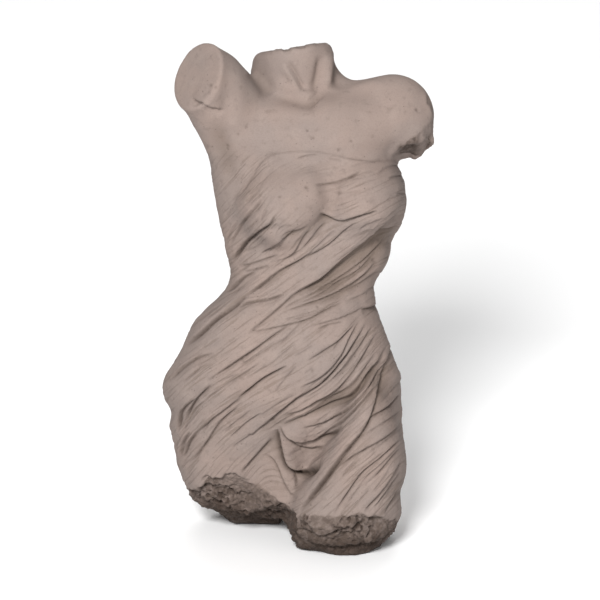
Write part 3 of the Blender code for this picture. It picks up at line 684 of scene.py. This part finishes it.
# %% Ridges and hollows: height, breadth, points
FRONT_RIDGES = [
    (3.0, 6, [(18, 457), (-8, 465), (-30, 473)]),
    (-3.0, 7, [(18, 449), (-8, 457), (-26, 463)]),
    (3.0, 5, [(36, 458), (58, 468), (84, 475)]),
    (4.6, 5, [(29, 506), (28, 487.5), (26, 464.5)]),
    (-3.6, 5, [(38, 504), (37, 483.5), (38, 467)]),
    (-3.4, 4, [(21, 500), (18, 482), (13, 463)]),
    (2.4, 4, [(-18, 491), (-9, 480), (1, 463)]),
    (-3.6, 3, [(-13, 494), (-4, 480.5), (5, 464.5)]),
    (-2.2, 7, [(-18, 506), (-10, 508.5)]),
    (1.6, 6, [(4, 513), (16, 515)]),
    (-4, 8, [(-48, 486.5), (-38, 474.5), (-28, 461)]),
    (-4, 12, [(-84, 436), (-80, 418), (-74, 396), (-72, 372)]),
    (-3, 8, [(12, 461), (18, 454)]),
    (1.8, 8, [(-62, 485.5), (-61, 457.5), (-64, 425.5)]),
    (-1.6, 9, [(-71, 495.5), (-68, 461.5), (-69, 431.5)]),
    (1.6, 3, [(125, 465.5), (124, 457.5), (128, 449.5), (132, 439.5)]),
    (-5.5, 7, [(138, 424), (134, 413), (127, 405)]),
    (4, 6, [(126, 402), (118, 400), (110, 401)]),
    (-6.5, 9, [(90, 326), (72, 307), (50, 291), (30, 277), (8, 266)]),
    (2.5, 6, [(88, 313), (60, 291), (36, 277), (12, 264)]),
    (-6, 7, [(76, 196), (54, 170), (32, 153), (4, 143)]),
    (-3, 9, [(-6, 108), (4, 92), (14, 80)]),
    (-3, 8, [(86, 200), (78, 168), (70, 142)]),
    (-5.5, 8.5, [(35, 370), (31, 346), (17, 330), (-6, 322), (-28, 332)]),
    (5, 13, [(2, 388), (13, 368), (10, 350)]),
]
BACK_RIDGES = [
    (-6.0, 11, [(-2, 500), (-2, 420), (2, 350)]),
    (4.5, 20, [(-46, 455), (-40, 395)]),
    (4.5, 20, [(46, 455), (42, 395)]),
    (-7.0, 10, [(-6, 216), (-8, 170), (-10, 118)]),
]
print(len(FRONT_RIDGES), "ridges and hollows in front,", len(BACK_RIDGES), "behind")

# %% [markdown]
# ## Carving
#
# Every point moves along its own normal by the sum of the strokes' heights. The strokes in front fade out
# past the outline as seen, and those behind take over there. What lies low and what lies in a crease are
# kept as values that colour it darker later: painted shade, with some brown dust as on a real casting.

# %% A soft step
def ramp(value, low, high):
    """3t^2 - 2t^3 from 0 at low to 1 at high."""
    t = np.clip((value - low) / (high - low), 0, 1)
    return t * t * (3 - 2 * t)


print("a ramp from 0 to 4 has", round(float(ramp(1.0, 0, 4)), 2), "at 1")

# %% Carve
seen_front = np.column_stack([skin[:, 0], skin[:, 2] * SIGHT_COS + skin[:, 1] * SIGHT_SIN])
seen_back = skin[:, [0, 2]]
facing = ramp(normals @ TOWARD_VIEWER, -0.15, 0.12)
turned = ramp(normals[:, 1], 0.0, 0.4)
front_lift, front_dirt_and_shade = fold_lift(seen_front, FRONT_FOLDS)
back_lift, back_dirt_and_shade = fold_lift(seen_back, BACK_FOLDS, 1.2)
lift = facing * (front_lift + ridge_lift(seen_front, FRONT_RIDGES))
lift += turned * (back_lift + ridge_lift(seen_back, BACK_RIDGES))
# Painted shade, with some dirt: how dark the creases are coloured in the finish
dirt_and_shade = np.maximum(facing * front_dirt_and_shade, turned * back_dirt_and_shade)
# Painted shade, with some dust: the deeper a place is carved, the darker it is coloured
hollow_dust_and_shade = ramp(-lift, 0.4, 7) * (1 - 0.75 * turned)
print("carving from", lift.min().round(1), "to", lift.max().round(1), "parts")

# %% [markdown]
# ## Fine lines in the cloth
#
# Between the large folds thin cloth keeps many fine lines, and all of them run the way the folds about
# them run. Every stroke lends its direction to the places near it. Then a height map is sought whose
# contour lines follow those directions, and noise that is stretched along the contours makes the lines.

# %% A value that stays the same along the folds
FLOW_CELL = 4.0
FLOW_LOW, FLOW_HIGH = np.array([-150.0, -20.0]), np.array([150.0, 540.0])
FLOW_RIGHTWARD = (-1.0, -0.2)
FLOW_BLUR = 60


def flow_map(folds):
    """A grid of values whose slope is the folds' unit normal n, as nearly as one map can have it. The
    best fit in the sense of least squares has the waves F = -i (k . N) / |k|^2, where N are the waves of
    n, mirrored at the grid's edges. A place's own direction is the mean of the strokes' directions,
    all turned towards the wearer's right, each over the cube of its distance, a little blurred."""
    spots, ways = [], []
    for depth, _, _, points in folds:
        line = curve(points, 3)
        way = np.diff(line, axis=0)
        spots.append((line[1:] + line[:-1]) / 2)
        ways.append(way * np.sign(way.sum(0) @ FLOW_RIGHTWARD))
    spots, ways = np.vstack(spots), np.vstack(ways)
    x, v = (np.arange(FLOW_LOW[k], FLOW_HIGH[k], FLOW_CELL) for k in range(2))
    grid = np.stack(np.meshgrid(x, v, indexing="ij"), -1)
    way = np.zeros(grid.shape)
    for spot, direction in zip(spots, ways):
        way += direction / (((grid - spot)**2).sum(-1) + FLOW_BLUR)[..., None]**1.5
    way /= np.linalg.norm(way, axis=-1, keepdims=True)
    across_x, across_v = way[..., 1], -way[..., 0]
    across_x = np.block([[across_x, across_x[:, ::-1]], [-across_x[::-1], -across_x[::-1, ::-1]]])
    across_v = np.block([[across_v, -across_v[:, ::-1]], [across_v[::-1], -across_v[::-1, ::-1]]])
    rates = [2 * np.pi * np.fft.fftfreq(n, FLOW_CELL) for n in across_x.shape]
    wave_x, wave_v = np.meshgrid(*rates, indexing="ij")
    square = wave_x**2 + wave_v**2
    square[0, 0] = 1
    waves = -1j * (wave_x * np.fft.fft2(across_x) + wave_v * np.fft.fft2(across_v)) / square
    return np.fft.ifft2(waves).real[:len(x), :len(v)]


# %% The map's value at each point of the skin
def looked_up(table, seen):
    """The table's value at each place, blended between its four nearest spots."""
    at = (seen - FLOW_LOW) / FLOW_CELL
    base = np.clip(np.floor(at).astype(int), 0, np.array(table.shape) - 2)
    t = at - base
    i, j = base.T
    near = table[i, j] * (1 - t[:, 0]) + table[i + 1, j] * t[:, 0]
    far = table[i, j + 1] * (1 - t[:, 0]) + table[i + 1, j + 1] * t[:, 0]
    return near * (1 - t[:, 1]) + far * t[:, 1]


across = looked_up(flow_map(FRONT_FOLDS), seen_front)
print("across the folds, parts:", across.min().round(), "to", across.max().round())


# %% Value noise
LATTICE_MIX = np.array([374761393, 668265263, 1440662683])
SEED_MIX, SHUFFLE = 69069, 1274126177
LOW_32_BITS, LOW_16_BITS = 0xFFFFFFFF, 0xFFFF


def noise(points, size, seed):
    """Random values from -1 to 1 at the corners of a lattice, blended between by 6t^5 - 15t^4 + 10t^3."""
    at = points / size
    base = np.floor(at).astype(np.int64)
    t = at - base
    t = t**3 * (t * (6 * t - 15) + 10)
    total = np.zeros(len(points))
    for corner in np.ndindex(2, 2, 2):
        spot = base + corner
        value = spot @ LATTICE_MIX + seed * SEED_MIX
        value = (value ^ (value >> 13)) * SHUFFLE & LOW_32_BITS
        value = (value ^ (value >> 16)) & LOW_16_BITS
        weight = np.prod(np.where(np.array(corner), t, 1 - t), axis=1)
        total += weight * (2 * value / LOW_16_BITS - 1)
    return total


trial = noise(seen_front[:1000, [0, 1, 1]], 5, 1)
print("noise at 1000 points runs from", trial.min().round(2), "to", trial.max().round(2))


# %% Lines along the cloth
def cloth_lines(breadth, length, seed):
    """Grooves along the cloth: a bell curve of the noise's value, which is 1 where the noise is 0. The
    noise's lattice is short across the folds and long along them."""
    lattice = np.column_stack([across / breadth, seen_front / length])
    return np.exp(-(noise(lattice, 1, seed) / 0.16)**2)


# Bare skin above the hem, and smooth cloth pulled tight over the breast
HEM_V, HEM_FALL = (385, 402), 0.12
BREAST_SEEN, BREAST_RADII = (0, 363), (34, 32)
draped = 1 - ramp(seen_front[:, 1] + HEM_FALL * seen_front[:, 0], *HEM_V)
from_breast = (seen_front - BREAST_SEEN) / BREAST_RADII
draped *= 1 - 0.8 * np.exp(-(from_breast**2).sum(1)**2)
patches = ramp(noise(skin, 38, 21), -0.8, 0.3)
fine = 0.55 * cloth_lines(7, 70, 22) + 0.45 * patches * cloth_lines(4, 45, 23)
rolls = 0.7 * noise(np.column_stack([across / 11, seen_front / 90]), 1, 24)
lift += draped * (rolls - fine)
print("fine lines up to", fine.max().round(2), "parts deep")

# %% [markdown]
# ## Broken stone
#
# Where a limb broke off, the casting's inside shows: coarse and pebbly, with no skin. Noise at several
# sizes on top of each other gives that. The front edge of a break is drawn as it is seen and chipped by
# noise. A few ledges are carved across it as folds are, because stone breaks in steps.

# %% The upper edges of the two thighs' breaks as seen: x, v
RIGHT_BREAK_EDGE = [
    (-125, 66), (-108, 67), (-100, 69), (-95, 74), (-92, 79), (-79, 78), (-71, 85), (-62, 81), (-56, 76),
    (-35, 70), (-28, 63), (-18, 53), (-8, 47), (0, 43),
]
LEFT_BREAK_EDGE = [(-8, 36), (0, 43), (12, 44), (45, 42), (60, 45), (68, 40), (80, 40), (100, 36), (110, 34)]
BETWEEN_THIGHS = -4
THIGH_EDGES = (("right thigh", RIGHT_BREAK_EDGE, -1), ("left thigh", LEFT_BREAK_EDGE, 1))
# The edge of the lowered stump's break, from below upwards: v, x
SHOULDER_BREAK_EDGE = [
    (404, 98), (414, 104), (424, 118), (439, 131), (449, 127), (457, 123), (466, 125), (474, 130),
]
NO_EDGE = 400
BREAK_REACH = {"arm": 60, "shoulder": 34, "neck": 60, "right thigh": 110, "left thigh": 90}
print(len(RIGHT_BREAK_EDGE), "and", len(LEFT_BREAK_EDGE), "points on the thighs' edges")


# %% How broken the surface is
def broken_amount(points, seen, front):
    """How broken the surface is, for each break: 1 on its plane and 0 a few parts off it, or, on the
    thighs, 1 below the break's edge as seen."""
    p = [points[:, k] for k in range(3)]
    amounts = {}
    for name, (point, normal) in BREAKS.items():
        off = np.abs(beyond(p, point, normal))
        away = np.linalg.norm(points - point, axis=1)
        reach = BREAK_REACH[name]
        amounts[name] = (1 - ramp(off, 0.5, 5)) * (1 - ramp(away, reach * 0.8, reach))
    rim_v, rim_x = np.array(SHOULDER_BREAK_EDGE).T
    rim = np.interp(seen[:, 1], rim_v, rim_x, NO_EDGE, NO_EDGE)
    past_rim = points[:, 0] + 1.5 * noise(points, 5, 14) - rim
    under = amounts["shoulder"] * ramp(seen[:, 0], 92, 106)
    amounts["shoulder"] = np.maximum(under, front * ramp(past_rim, -1, 3))
    for name, edge, side in THIGH_EDGES:
        x, v = np.array(edge).T
        own = side * (points[:, 0] - BETWEEN_THIGHS) > 0
        chipped = np.interp(points[:, 0], x, v) + 2.4 * noise(points, 6, 8)
        below = ramp(chipped - seen[:, 1], -1, 2) * own
        low = ramp(16 + 8 * noise(points, 12, 9) - points[:, 2], 0, 4) * own
        amounts[name] = front * below + (1 - front) * np.maximum(low, amounts[name])
    return amounts


# %% Pits and crumbs
def pitted(p):
    """Pits in clusters: what two noises have above a level, where a coarse noise is high."""
    clusters = ramp(noise(p, 22, 11), -0.3, 0.4)
    return clusters * (np.maximum(noise(p, 4.5, 4) - 0.1, 0) + np.maximum(noise(p, 2.6, 7) - 0.15, 0))


def crumbled(p):
    """Ledges and crumbs: a coarse noise, drawn out sideways and towards steps 0.5 apart, less the pits."""
    long = p * (0.55, 1.0, 1.25)
    coarse = noise(long, 19, 1) + 0.45 * noise(long, 9, 2)
    steps = np.round(coarse / 0.5) * 0.5
    crumbs = 0.26 * noise(p, 3.4, 3) + 0.2 * noise(p, 1.9, 5)
    return 0.4 * coarse + 0.6 * steps + crumbs - 1.1 * pitted(p)


# %% Ledges in the breaks as seen, drawn as folds are: depth, breadth over, breadth under, points
LEDGES = [
    (3.4, 3, 5, [(-50, 76), (-60, 80), (-68, 85), (-74, 83), (-79, 79), (-88, 79), (-93, 82), (-99, 77)]),
    (3.6, 3, 4, [(-46, 64), (-54, 63), (-60, 63), (-66, 59)]),
    (5.0, 4, 6, [(-64, 61), (-70, 65), (-78, 69), (-87, 69), (-94, 72), (-101, 66), (-107, 59)]),
    (3.6, 3, 4, [(-18, 51), (-28, 51), (-37, 50)]),
    (6.5, 9, 9, [(-12, 45), (-28, 42), (-42, 44), (-54, 41), (-68, 46), (-80, 52), (-94, 58)]),
    (6.5, 5, 6, [(64, 34), (50, 31), (40, 29), (31, 25), (20, 23), (8, 26), (-6, 27)]),
    (3.4, 4, 4, [(56, 21), (44, 24), (34, 20), (24, 17)]),
    (3.0, 3, 4, [(86, 38), (74, 41), (64, 38)]),
    (6.0, 8, 8, [(86, 17), (70, 13), (52, 11), (36, 9), (20, 11), (4, 13)]),
    (4.0, 5, 4, [(-76, 445.5), (-84, 446.5), (-92, 449.5), (-100, 453.5), (-107, 456.5)]),
]
print(len(LEDGES), "ledges")

# %% Break the stone
ROUGHNESS = {"arm": 0.35, "shoulder": 1.2, "neck": 1.3, "right thigh": 3.8, "left thigh": 3.6}
DARKNESS = {"arm": 0.0, "shoulder": 0.9, "neck": 0.3, "right thigh": 1.0, "left thigh": 1.0}
RECESS = {"arm": 0.0, "shoulder": 0.4, "neck": 0.0, "right thigh": 1.8, "left thigh": 0.8}
ragged = seen_front + 1.3 * np.column_stack([noise(skin, 4, 31), noise(skin, 4, 32)])
ledge_lift, ledge_shade = fold_lift(ragged, LEDGES)
front = 1 - ramp(normals[:, 1], -0.05, 0.35)
# How dark each break is coloured: partly the broken stone's own colour, partly painted shade
broken = np.zeros(len(skin))
for name, amount in broken_amount(skin, seen_front, front).items():
    some = amount > 0
    lift[some] += amount[some] * (ROUGHNESS[name] * crumbled(skin[some]) - RECESS[name])
    broken = np.maximum(broken, amount * DARKNESS[name])
lift += front * ledge_lift
# How far each place faces down, for painted shade on the breaks' undersides
low_side = np.clip(-normals[:, 2], 0, 1)
# The thighs' breaks get painted shade low down and painted light higher up, and the stump's outer side stays
# nearly as pale as the skin
RIGHT_DARK_V, LEFT_DARK_V = 57, 29
STUMP_PALE_X = (113, 122)
dark_below = np.where(skin[:, 0] < BETWEEN_THIGHS, RIGHT_DARK_V, LEFT_DARK_V) + 11 * noise(skin, 13, 3)
low_break_shade = ramp(dark_below - seen_front[:, 1], 0, 20)
# Painted light: higher up, where light falls on it, each thigh's break is coloured paler
lit = ramp(seen_front[:, 1] - dark_below, 0, 24) * (skin[:, 2] < HIP_JOINT_Z)
broken *= 1 - 0.4 * lit
broken *= 1 - 0.7 * ramp(skin[:, 0], *STUMP_PALE_X)
# Painted shade in the breaks: in their ledges and pits, where they face down, and low down on the thighs
pit_shade = ramp(pitted(skin), 0.05, 0.4)
dirt_and_shade = np.maximum(dirt_and_shade, facing * ledge_shade)
dirt_and_shade = np.maximum(dirt_and_shade, broken * np.maximum(0.9 * pit_shade, 0.9 * ramp(low_side, 0.55, 0.95)))
dirt_and_shade = np.maximum(dirt_and_shade, broken * 0.95 * low_break_shade)
print("broken share of the skin:", (broken > 0.5).mean().round(3))

# %% [markdown]
# ## Casting pits
#
# Air bubbles leave small round holes in a casting's skin. The larger ones are pushed into the surface
# here as bell curves, with painted shade at their bottoms. The hundreds of tiny ones come with the finish.

# %% The larger pinholes in front: x, v, radius
PITS = [
    (-53, 428.5, 1.4), (-61, 421.5, 1.2), (-73, 408.5, 1.4), (-73, 405.5, 1.1), (7, 425.5, 1.2),
    (13, 417.5, 1.2), (51, 414.5, 1.1), (38, 405.5, 1.2), (116, 446.5, 1.6), (38, 363.5, 1.6),
    (77, 295.5, 2.2), (-20, 359.5, 1.4), (5, 367.5, 1.6), (-58, 253.5, 1.6), (18, 250.5, 1.5),
    (-88, 469.5, 1.5), (-83, 467.5, 1.3), (-28, 136.5, 2.0), (-50, 122, 1.8), (12, 188, 1.4),
]
for x, v, radius in PITS:
    near = np.where((np.abs(seen_front - (x, v)) < 3 * radius).all(1) & (facing > 0.5))[0]
    gap = np.hypot(*(seen_front[near] - (x, v)).T)
    bell = np.exp(-(gap / radius)**2)
    lift[near] -= 0.9 * radius * bell
    # Painted shade at the bottom of each pit
    dirt_and_shade[near] = np.maximum(dirt_and_shade[near], 0.5 * bell)
print(len(PITS), "pits")

# %% [markdown]
# ## From points to a piece
#
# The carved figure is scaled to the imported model's height and stood on the middle of its base. The net
# has far more faces than flat stone needs, so a Decimate modifier merges the flattest ones first and
# keeps the creases. The values for the finish ride along on the vertices.

# %% Scale and stand the figure
carved = skin + normals * lift[:, None]
carved[:, 2] = skin[:, 2] + normals[:, 2] * lift * ramp(skin[:, 2], 0.3, 6)
carved[:, 2] = np.maximum(carved[:, 2], 0)
part_size = height / (carved[:, 2].max() - carved[:, 2].min())
middle = (carved.min(0) + carved.max(0)) / 2
middle[2] = carved[:, 2].min()
floor_middle = np.array([(box_low[0] + box_high[0]) / 2, (box_low[1] + box_high[1]) / 2, box_low[2]])
placed = (carved - middle) * part_size + floor_middle

print("one part is", (1000 * part_size).round(3), "mm")

# %% Make the mesh
mesh = bpy.data.meshes.new("torso_surface")
mesh.vertices.add(len(placed))
mesh.vertices.foreach_set("co", placed.astype(np.float32).ravel())
mesh.loops.add(4 * len(faces))
mesh.loops.foreach_set("vertex_index", faces.astype(np.int32).ravel())
mesh.polygons.add(len(faces))
mesh.polygons.foreach_set("loop_start", np.arange(0, 4 * len(faces), 4, dtype=np.int32))
mesh.update(calc_edges=True)
mesh.validate()
carried_values = {"dirt_and_shade": dirt_and_shade, "hollow_dust_and_shade": hollow_dust_and_shade, "broken": broken, "across": across, "draped": draped}
for name, values in carried_values.items():
    layer = mesh.attributes.new(name, "FLOAT", "POINT")
    layer.data.foreach_set("value", values.astype(np.float32))
print(len(mesh.polygons), "four-sided faces carry", ", ".join(carried_values))

# %% Thin the flat stretches
MOST_TRIANGLES = 196000
torso = bpy.data.objects.new("torso_surface", mesh)
bpy.context.scene.collection.objects.link(torso)
fewer = torso.modifiers.new("fewer faces", "DECIMATE")
fewer.ratio = MOST_TRIANGLES / (2 * len(faces))
graph = bpy.context.evaluated_depsgraph_get()
fewer_faces = torso.evaluated_get(graph)
thinned = bpy.data.meshes.new_from_object(fewer_faces, preserve_all_data_layers=True, depsgraph=graph)
torso.modifiers.remove(fewer)
torso.data = thinned
torso.data.shade_smooth()
print(len(torso.data.polygons), "faces,", [a.name for a in torso.data.attributes])

# %% [markdown]
# ## The finish
#
# The casting is warm grey-brown stone. Its skin is mottled softly, has a fine grain and scattered
# pinholes, and is coloured darker in the creases, hollows and holes: painted shade, with some brown dirt. In
# the breaks it is darker and coarse, partly its own colour and partly painted shade and light. Everything
# reads
# Object coordinates, in metres, or the values that the mesh carries at its vertices: the dirt and shade of
# the creases, the dust and shade of the hollows, how broken and how draped it is, and the value across the
# folds.

# %% The material, and noise in it
stone = bpy.data.materials.new("cast_stone")
stone.use_nodes = True
nodes, links = stone.node_tree.nodes, stone.node_tree.links
shader = nodes["Principled BSDF"]
where = nodes.new("ShaderNodeTexCoord").outputs["Object"]


def pattern(scale, detail=3.0, roughness=0.55):
    """Noise from 0 to 1 with the given number of waves to the metre."""
    node = nodes.new("ShaderNodeTexNoise")
    node.inputs["Scale"].default_value = scale
    node.inputs["Detail"].default_value = detail
    node.inputs["Roughness"].default_value = roughness
    links.new(where, node.inputs["Vector"])
    return node.outputs["Fac"]


# %% Values and colours in the material
def span(value, low, high, to_low=0.0, to_high=1.0):
    """The value carried from low..high to to_low..to_high, and held there."""
    node = nodes.new("ShaderNodeMapRange")
    links.new(value, node.inputs["Value"])
    for name, number in zip(("From Min", "From Max", "To Min", "To Max"), (low, high, to_low, to_high)):
        node.inputs[name].default_value = number
    return node.outputs["Result"]


def combine(operation, a, b):
    """Two values, or a value and a number, by the given sum."""
    node = nodes.new("ShaderNodeMath")
    node.operation = operation
    for slot, value in enumerate((a, b)):
        if isinstance(value, (int, float)):
            node.inputs[slot].default_value = value
        else:
            links.new(value, node.inputs[slot])
    return node.outputs["Value"]


def blend(factor, a, b):
    """From colour a, where the factor is 0, to colour b, where it is 1."""
    node = nodes.new("ShaderNodeMix")
    node.data_type = "RGBA"
    links.new(factor, node.inputs["Factor"])
    for slot, value in ((6, a), (7, b)):
        if isinstance(value, tuple):
            node.inputs[slot].default_value = (*value, 1.0)
        else:
            links.new(value, node.inputs[slot])
    return node.outputs[2]


def carried(name):
    """A value that the mesh carries at its vertices."""
    node = nodes.new("ShaderNodeAttribute")
    node.attribute_name = name
    return node.outputs["Fac"]


print("the material starts with", len(nodes), "nodes")

# %% [markdown]
# ## Colour in layers
#
# A real casting gets its colour in layers, and so does this one: the mottled ground, pale and dark
# grains, the rough inside of the breaks with painted shade and light in it, painted shade with some dust in
# the hollows and along the fine lines, and last the almost black bottoms of creases and holes, painted shade
# with some dirt. Each layer is one blend over the one before.

# %% The stone's colours
WARM = (0.223, 0.171, 0.148)
GREY = (0.201, 0.160, 0.142)
PALE = (0.276, 0.223, 0.195)
CRUMB = (0.083, 0.060, 0.049)
# Painted shade, with some dust: the colour of the hollows and the fine lines
HOLLOW_DUST_AND_SHADE = (0.085, 0.060, 0.043)
# Painted shade, with some dirt: the near black of creases, pits and pinholes
DIRT_AND_DEEP_SHADE = (0.030, 0.018, 0.012)
print("from the palest to the darkest:", PALE, WARM, GREY, HOLLOW_DUST_AND_SHADE, CRUMB, DIRT_AND_DEEP_SHADE)

# %% Pinholes and threads
HOLE_CELLS = 200


def pinholes():
    """Small round holes: the middles of cells 5 mm across, kept where a coarser noise is high."""
    cells = nodes.new("ShaderNodeTexVoronoi")
    cells.inputs["Scale"].default_value = HOLE_CELLS
    links.new(where, cells.inputs["Vector"])
    hole = span(cells.outputs["Distance"], 0.07, 0.14, 1.0, 0.0)
    return combine("MULTIPLY", hole, span(pattern(70, 0.0), 0.60, 0.66))


ACROSS_WAVES, ALONG_WAVES = 0.45, 22


def threads():
    """Fine lines along the cloth: noise in a space that is the mesh's value across the folds, with
    0.45 waves to the part, and the place in metres, with 22 waves to the metre."""
    place_parts = nodes.new("ShaderNodeSeparateXYZ")
    links.new(where, place_parts.inputs["Vector"])
    space = nodes.new("ShaderNodeCombineXYZ")
    links.new(combine("MULTIPLY", carried("across"), ACROSS_WAVES), space.inputs["X"])
    links.new(combine("MULTIPLY", place_parts.outputs["X"], ALONG_WAVES), space.inputs["Y"])
    links.new(combine("MULTIPLY", place_parts.outputs["Z"], ALONG_WAVES), space.inputs["Z"])
    lines = nodes.new("ShaderNodeTexNoise")
    lines.inputs["Scale"].default_value = 1.0
    lines.inputs["Detail"].default_value = 2.0
    links.new(space.outputs["Vector"], lines.inputs["Vector"])
    groove = span(lines.outputs["Fac"], 0.54, 0.66)
    kept = combine("MULTIPLY", carried("draped"), span(pattern(9, 2.0), 0.25, 0.5))
    return combine("MULTIPLY", groove, kept)


holes = pinholes()
thread = threads()
print("holes and threads make it", len(nodes), "nodes")

# %% The layers, from the ground up
break_colour_and_shade = carried("broken")
grain = pattern(650, 2.0)
colour = blend(span(pattern(14, 3.0), 0.4, 0.62), WARM, GREY)
colour = blend(span(pattern(60, 4.0), 0.5, 0.8, 0.0, 0.35), colour, PALE)
colour = blend(span(pattern(120, 3.0), 0.56, 0.75, 0.0, 0.3), colour, CRUMB)
colour = blend(span(grain, 0.45, 0.8, 0.0, 0.22), colour, CRUMB)
# The breaks' own darker colour, with painted shade and painted light in it
colour = blend(combine("MULTIPLY", break_colour_and_shade, span(pattern(160, 4.0), 0.3, 0.6, 0.35, 1.0)), colour, CRUMB)
# Painted shade, with some dust, in the hollows
colour = blend(combine("MULTIPLY", carried("hollow_dust_and_shade"), 0.55), colour, HOLLOW_DUST_AND_SHADE)
# Painted shade, with some dust, along the fine lines of the cloth
colour = blend(combine("MULTIPLY", thread, 0.34), colour, HOLLOW_DUST_AND_SHADE)
# Painted shade in the pinholes
colour = blend(combine("MULTIPLY", holes, 0.55), colour, DIRT_AND_DEEP_SHADE)
# Painted shade, with some dirt, in the creases, in the breaks' pits, undersides and low parts, and in the
# larger pits
dirt_and_shade_here = combine("MULTIPLY", carried("dirt_and_shade"), span(pattern(80, 3.0), 0.2, 0.6, 0.6, 1.0))
colour = blend(combine("MULTIPLY", dirt_and_shade_here, 0.85), colour, DIRT_AND_DEEP_SHADE)
links.new(colour, shader.inputs["Base Color"])
shader.inputs["Roughness"].default_value = 0.9
shader.inputs["Specular IOR Level"].default_value = 0.3
print("the colour is made of", len([n for n in nodes if n.bl_idname == "ShaderNodeMix"]), "layers")

# %% [markdown]
# ## Relief too fine for faces
#
# Grain, pinholes and the finest lines of the cloth are a tenth of a millimetre deep. A bump tilts the
# light for them, and the visible shape stays with the faces.

# %% The stone's fine relief
relief = combine("MULTIPLY", grain, 0.25)
relief = combine("SUBTRACT", relief, combine("MULTIPLY", thread, 0.9))
relief = combine("SUBTRACT", relief, combine("MULTIPLY", holes, 1.5))
crumbs = combine("MULTIPLY", break_colour_and_shade, pattern(300, 5.0, 0.7))
relief = combine("ADD", relief, combine("MULTIPLY", crumbs, 4.5))
bump = nodes.new("ShaderNodeBump")
bump.inputs["Strength"].default_value = 0.6
bump.inputs["Distance"].default_value = 0.0008
links.new(relief, bump.inputs["Height"])
links.new(bump.outputs["Normal"], shader.inputs["Normal"])
torso.data.materials.clear()
torso.data.materials.append(stone)

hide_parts("draped_torso")
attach(torso, "root")
print("the finished stone has", len(nodes), "nodes")

# %% [markdown]
# ## A plain studio
#
# A sculpture is photographed in soft light from the front and a little above, so that the folds show and
# nothing is lost in black. The camera looks down by the angle of sight from far away, with a long lens,
# as close to parallel sight as it can be. The floor is plain and pale.

# %% The camera: the picture is 600 parts wide, and its middle is at v = 257.5
PICTURE_WIDTH = 600
PICTURE_MIDDLE_V = 257.5
CAMERA_DISTANCE_M = 10.0
SENSOR_MM = 36


def to_frame(point):
    """A place in parts as metres in the frame."""
    return Vector((np.asarray(point) - middle) * part_size + floor_middle)


target = to_frame(place(0, PICTURE_MIDDLE_V, 50))
camera_data = bpy.data.cameras.new("camera")
camera_data.sensor_width = SENSOR_MM
camera_data.lens = SENSOR_MM * CAMERA_DISTANCE_M / (PICTURE_WIDTH * part_size)
camera = bpy.data.objects.new("camera", camera_data)
camera.location = target + Vector(TOWARD_VIEWER) * CAMERA_DISTANCE_M
camera.rotation_euler = (target - camera.location).to_track_quat("-Z", "Y").to_euler()
bpy.context.scene.collection.objects.link(camera)
bpy.context.scene.camera = camera
print("the lens is", round(camera_data.lens), "mm long")

# %% The floor
FLOOR_HALF_M = 40
floor_mesh = bpy.data.meshes.new("floor")
floor_corners = [(x * FLOOR_HALF_M, y * FLOOR_HALF_M, 0) for x, y in ((-1, -1), (1, -1), (1, 1), (-1, 1))]
floor_mesh.from_pydata(floor_corners, [], [(0, 1, 2, 3)])
floor = bpy.data.objects.new("floor", floor_mesh)
bpy.context.scene.collection.objects.link(floor)
pale = bpy.data.materials.new("pale_floor")
pale.use_nodes = True
pale.node_tree.nodes["Principled BSDF"].inputs["Base Color"].default_value = (0.93, 0.93, 0.93, 1)
pale.node_tree.nodes["Principled BSDF"].inputs["Roughness"].default_value = 0.9
floor.data.materials.append(pale)
floor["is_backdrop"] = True
print("the floor is", 2 * FLOOR_HALF_M, "m wide")


# %% The lights
def area_light(name, place_m, aim, size, watts):
    """A square soft light of the given size in metres, turned so that it shines towards the aim."""
    light = bpy.data.lights.new(name, "AREA")
    light.size = size
    light.energy = watts
    lamp = bpy.data.objects.new(name, light)
    lamp.location = place_m
    lamp.rotation_euler = (aim - lamp.location).to_track_quat("-Z", "Y").to_euler()
    bpy.context.scene.collection.objects.link(lamp)


area_light("key", Vector((-1.1, -5.7, 3.8)), target, 1.6, 655)
area_light("fill", Vector((3.4, -4.4, 2.0)), target, 4.0, 50)
area_light("back of the floor", Vector((0.0, 1.9, 3.0)), Vector((0.0, 1.9, 0.0)), 2.5, 50)
world = bpy.data.worlds.new("studio")
world.use_nodes = True
world.node_tree.nodes["Background"].inputs["Color"].default_value = (1, 1, 1, 1)
world.node_tree.nodes["Background"].inputs["Strength"].default_value = 0.28
bpy.context.scene.world = world
bpy.context.scene.view_settings.view_transform = "Standard"
print(len(bpy.data.lights), "lights and a pale surround")
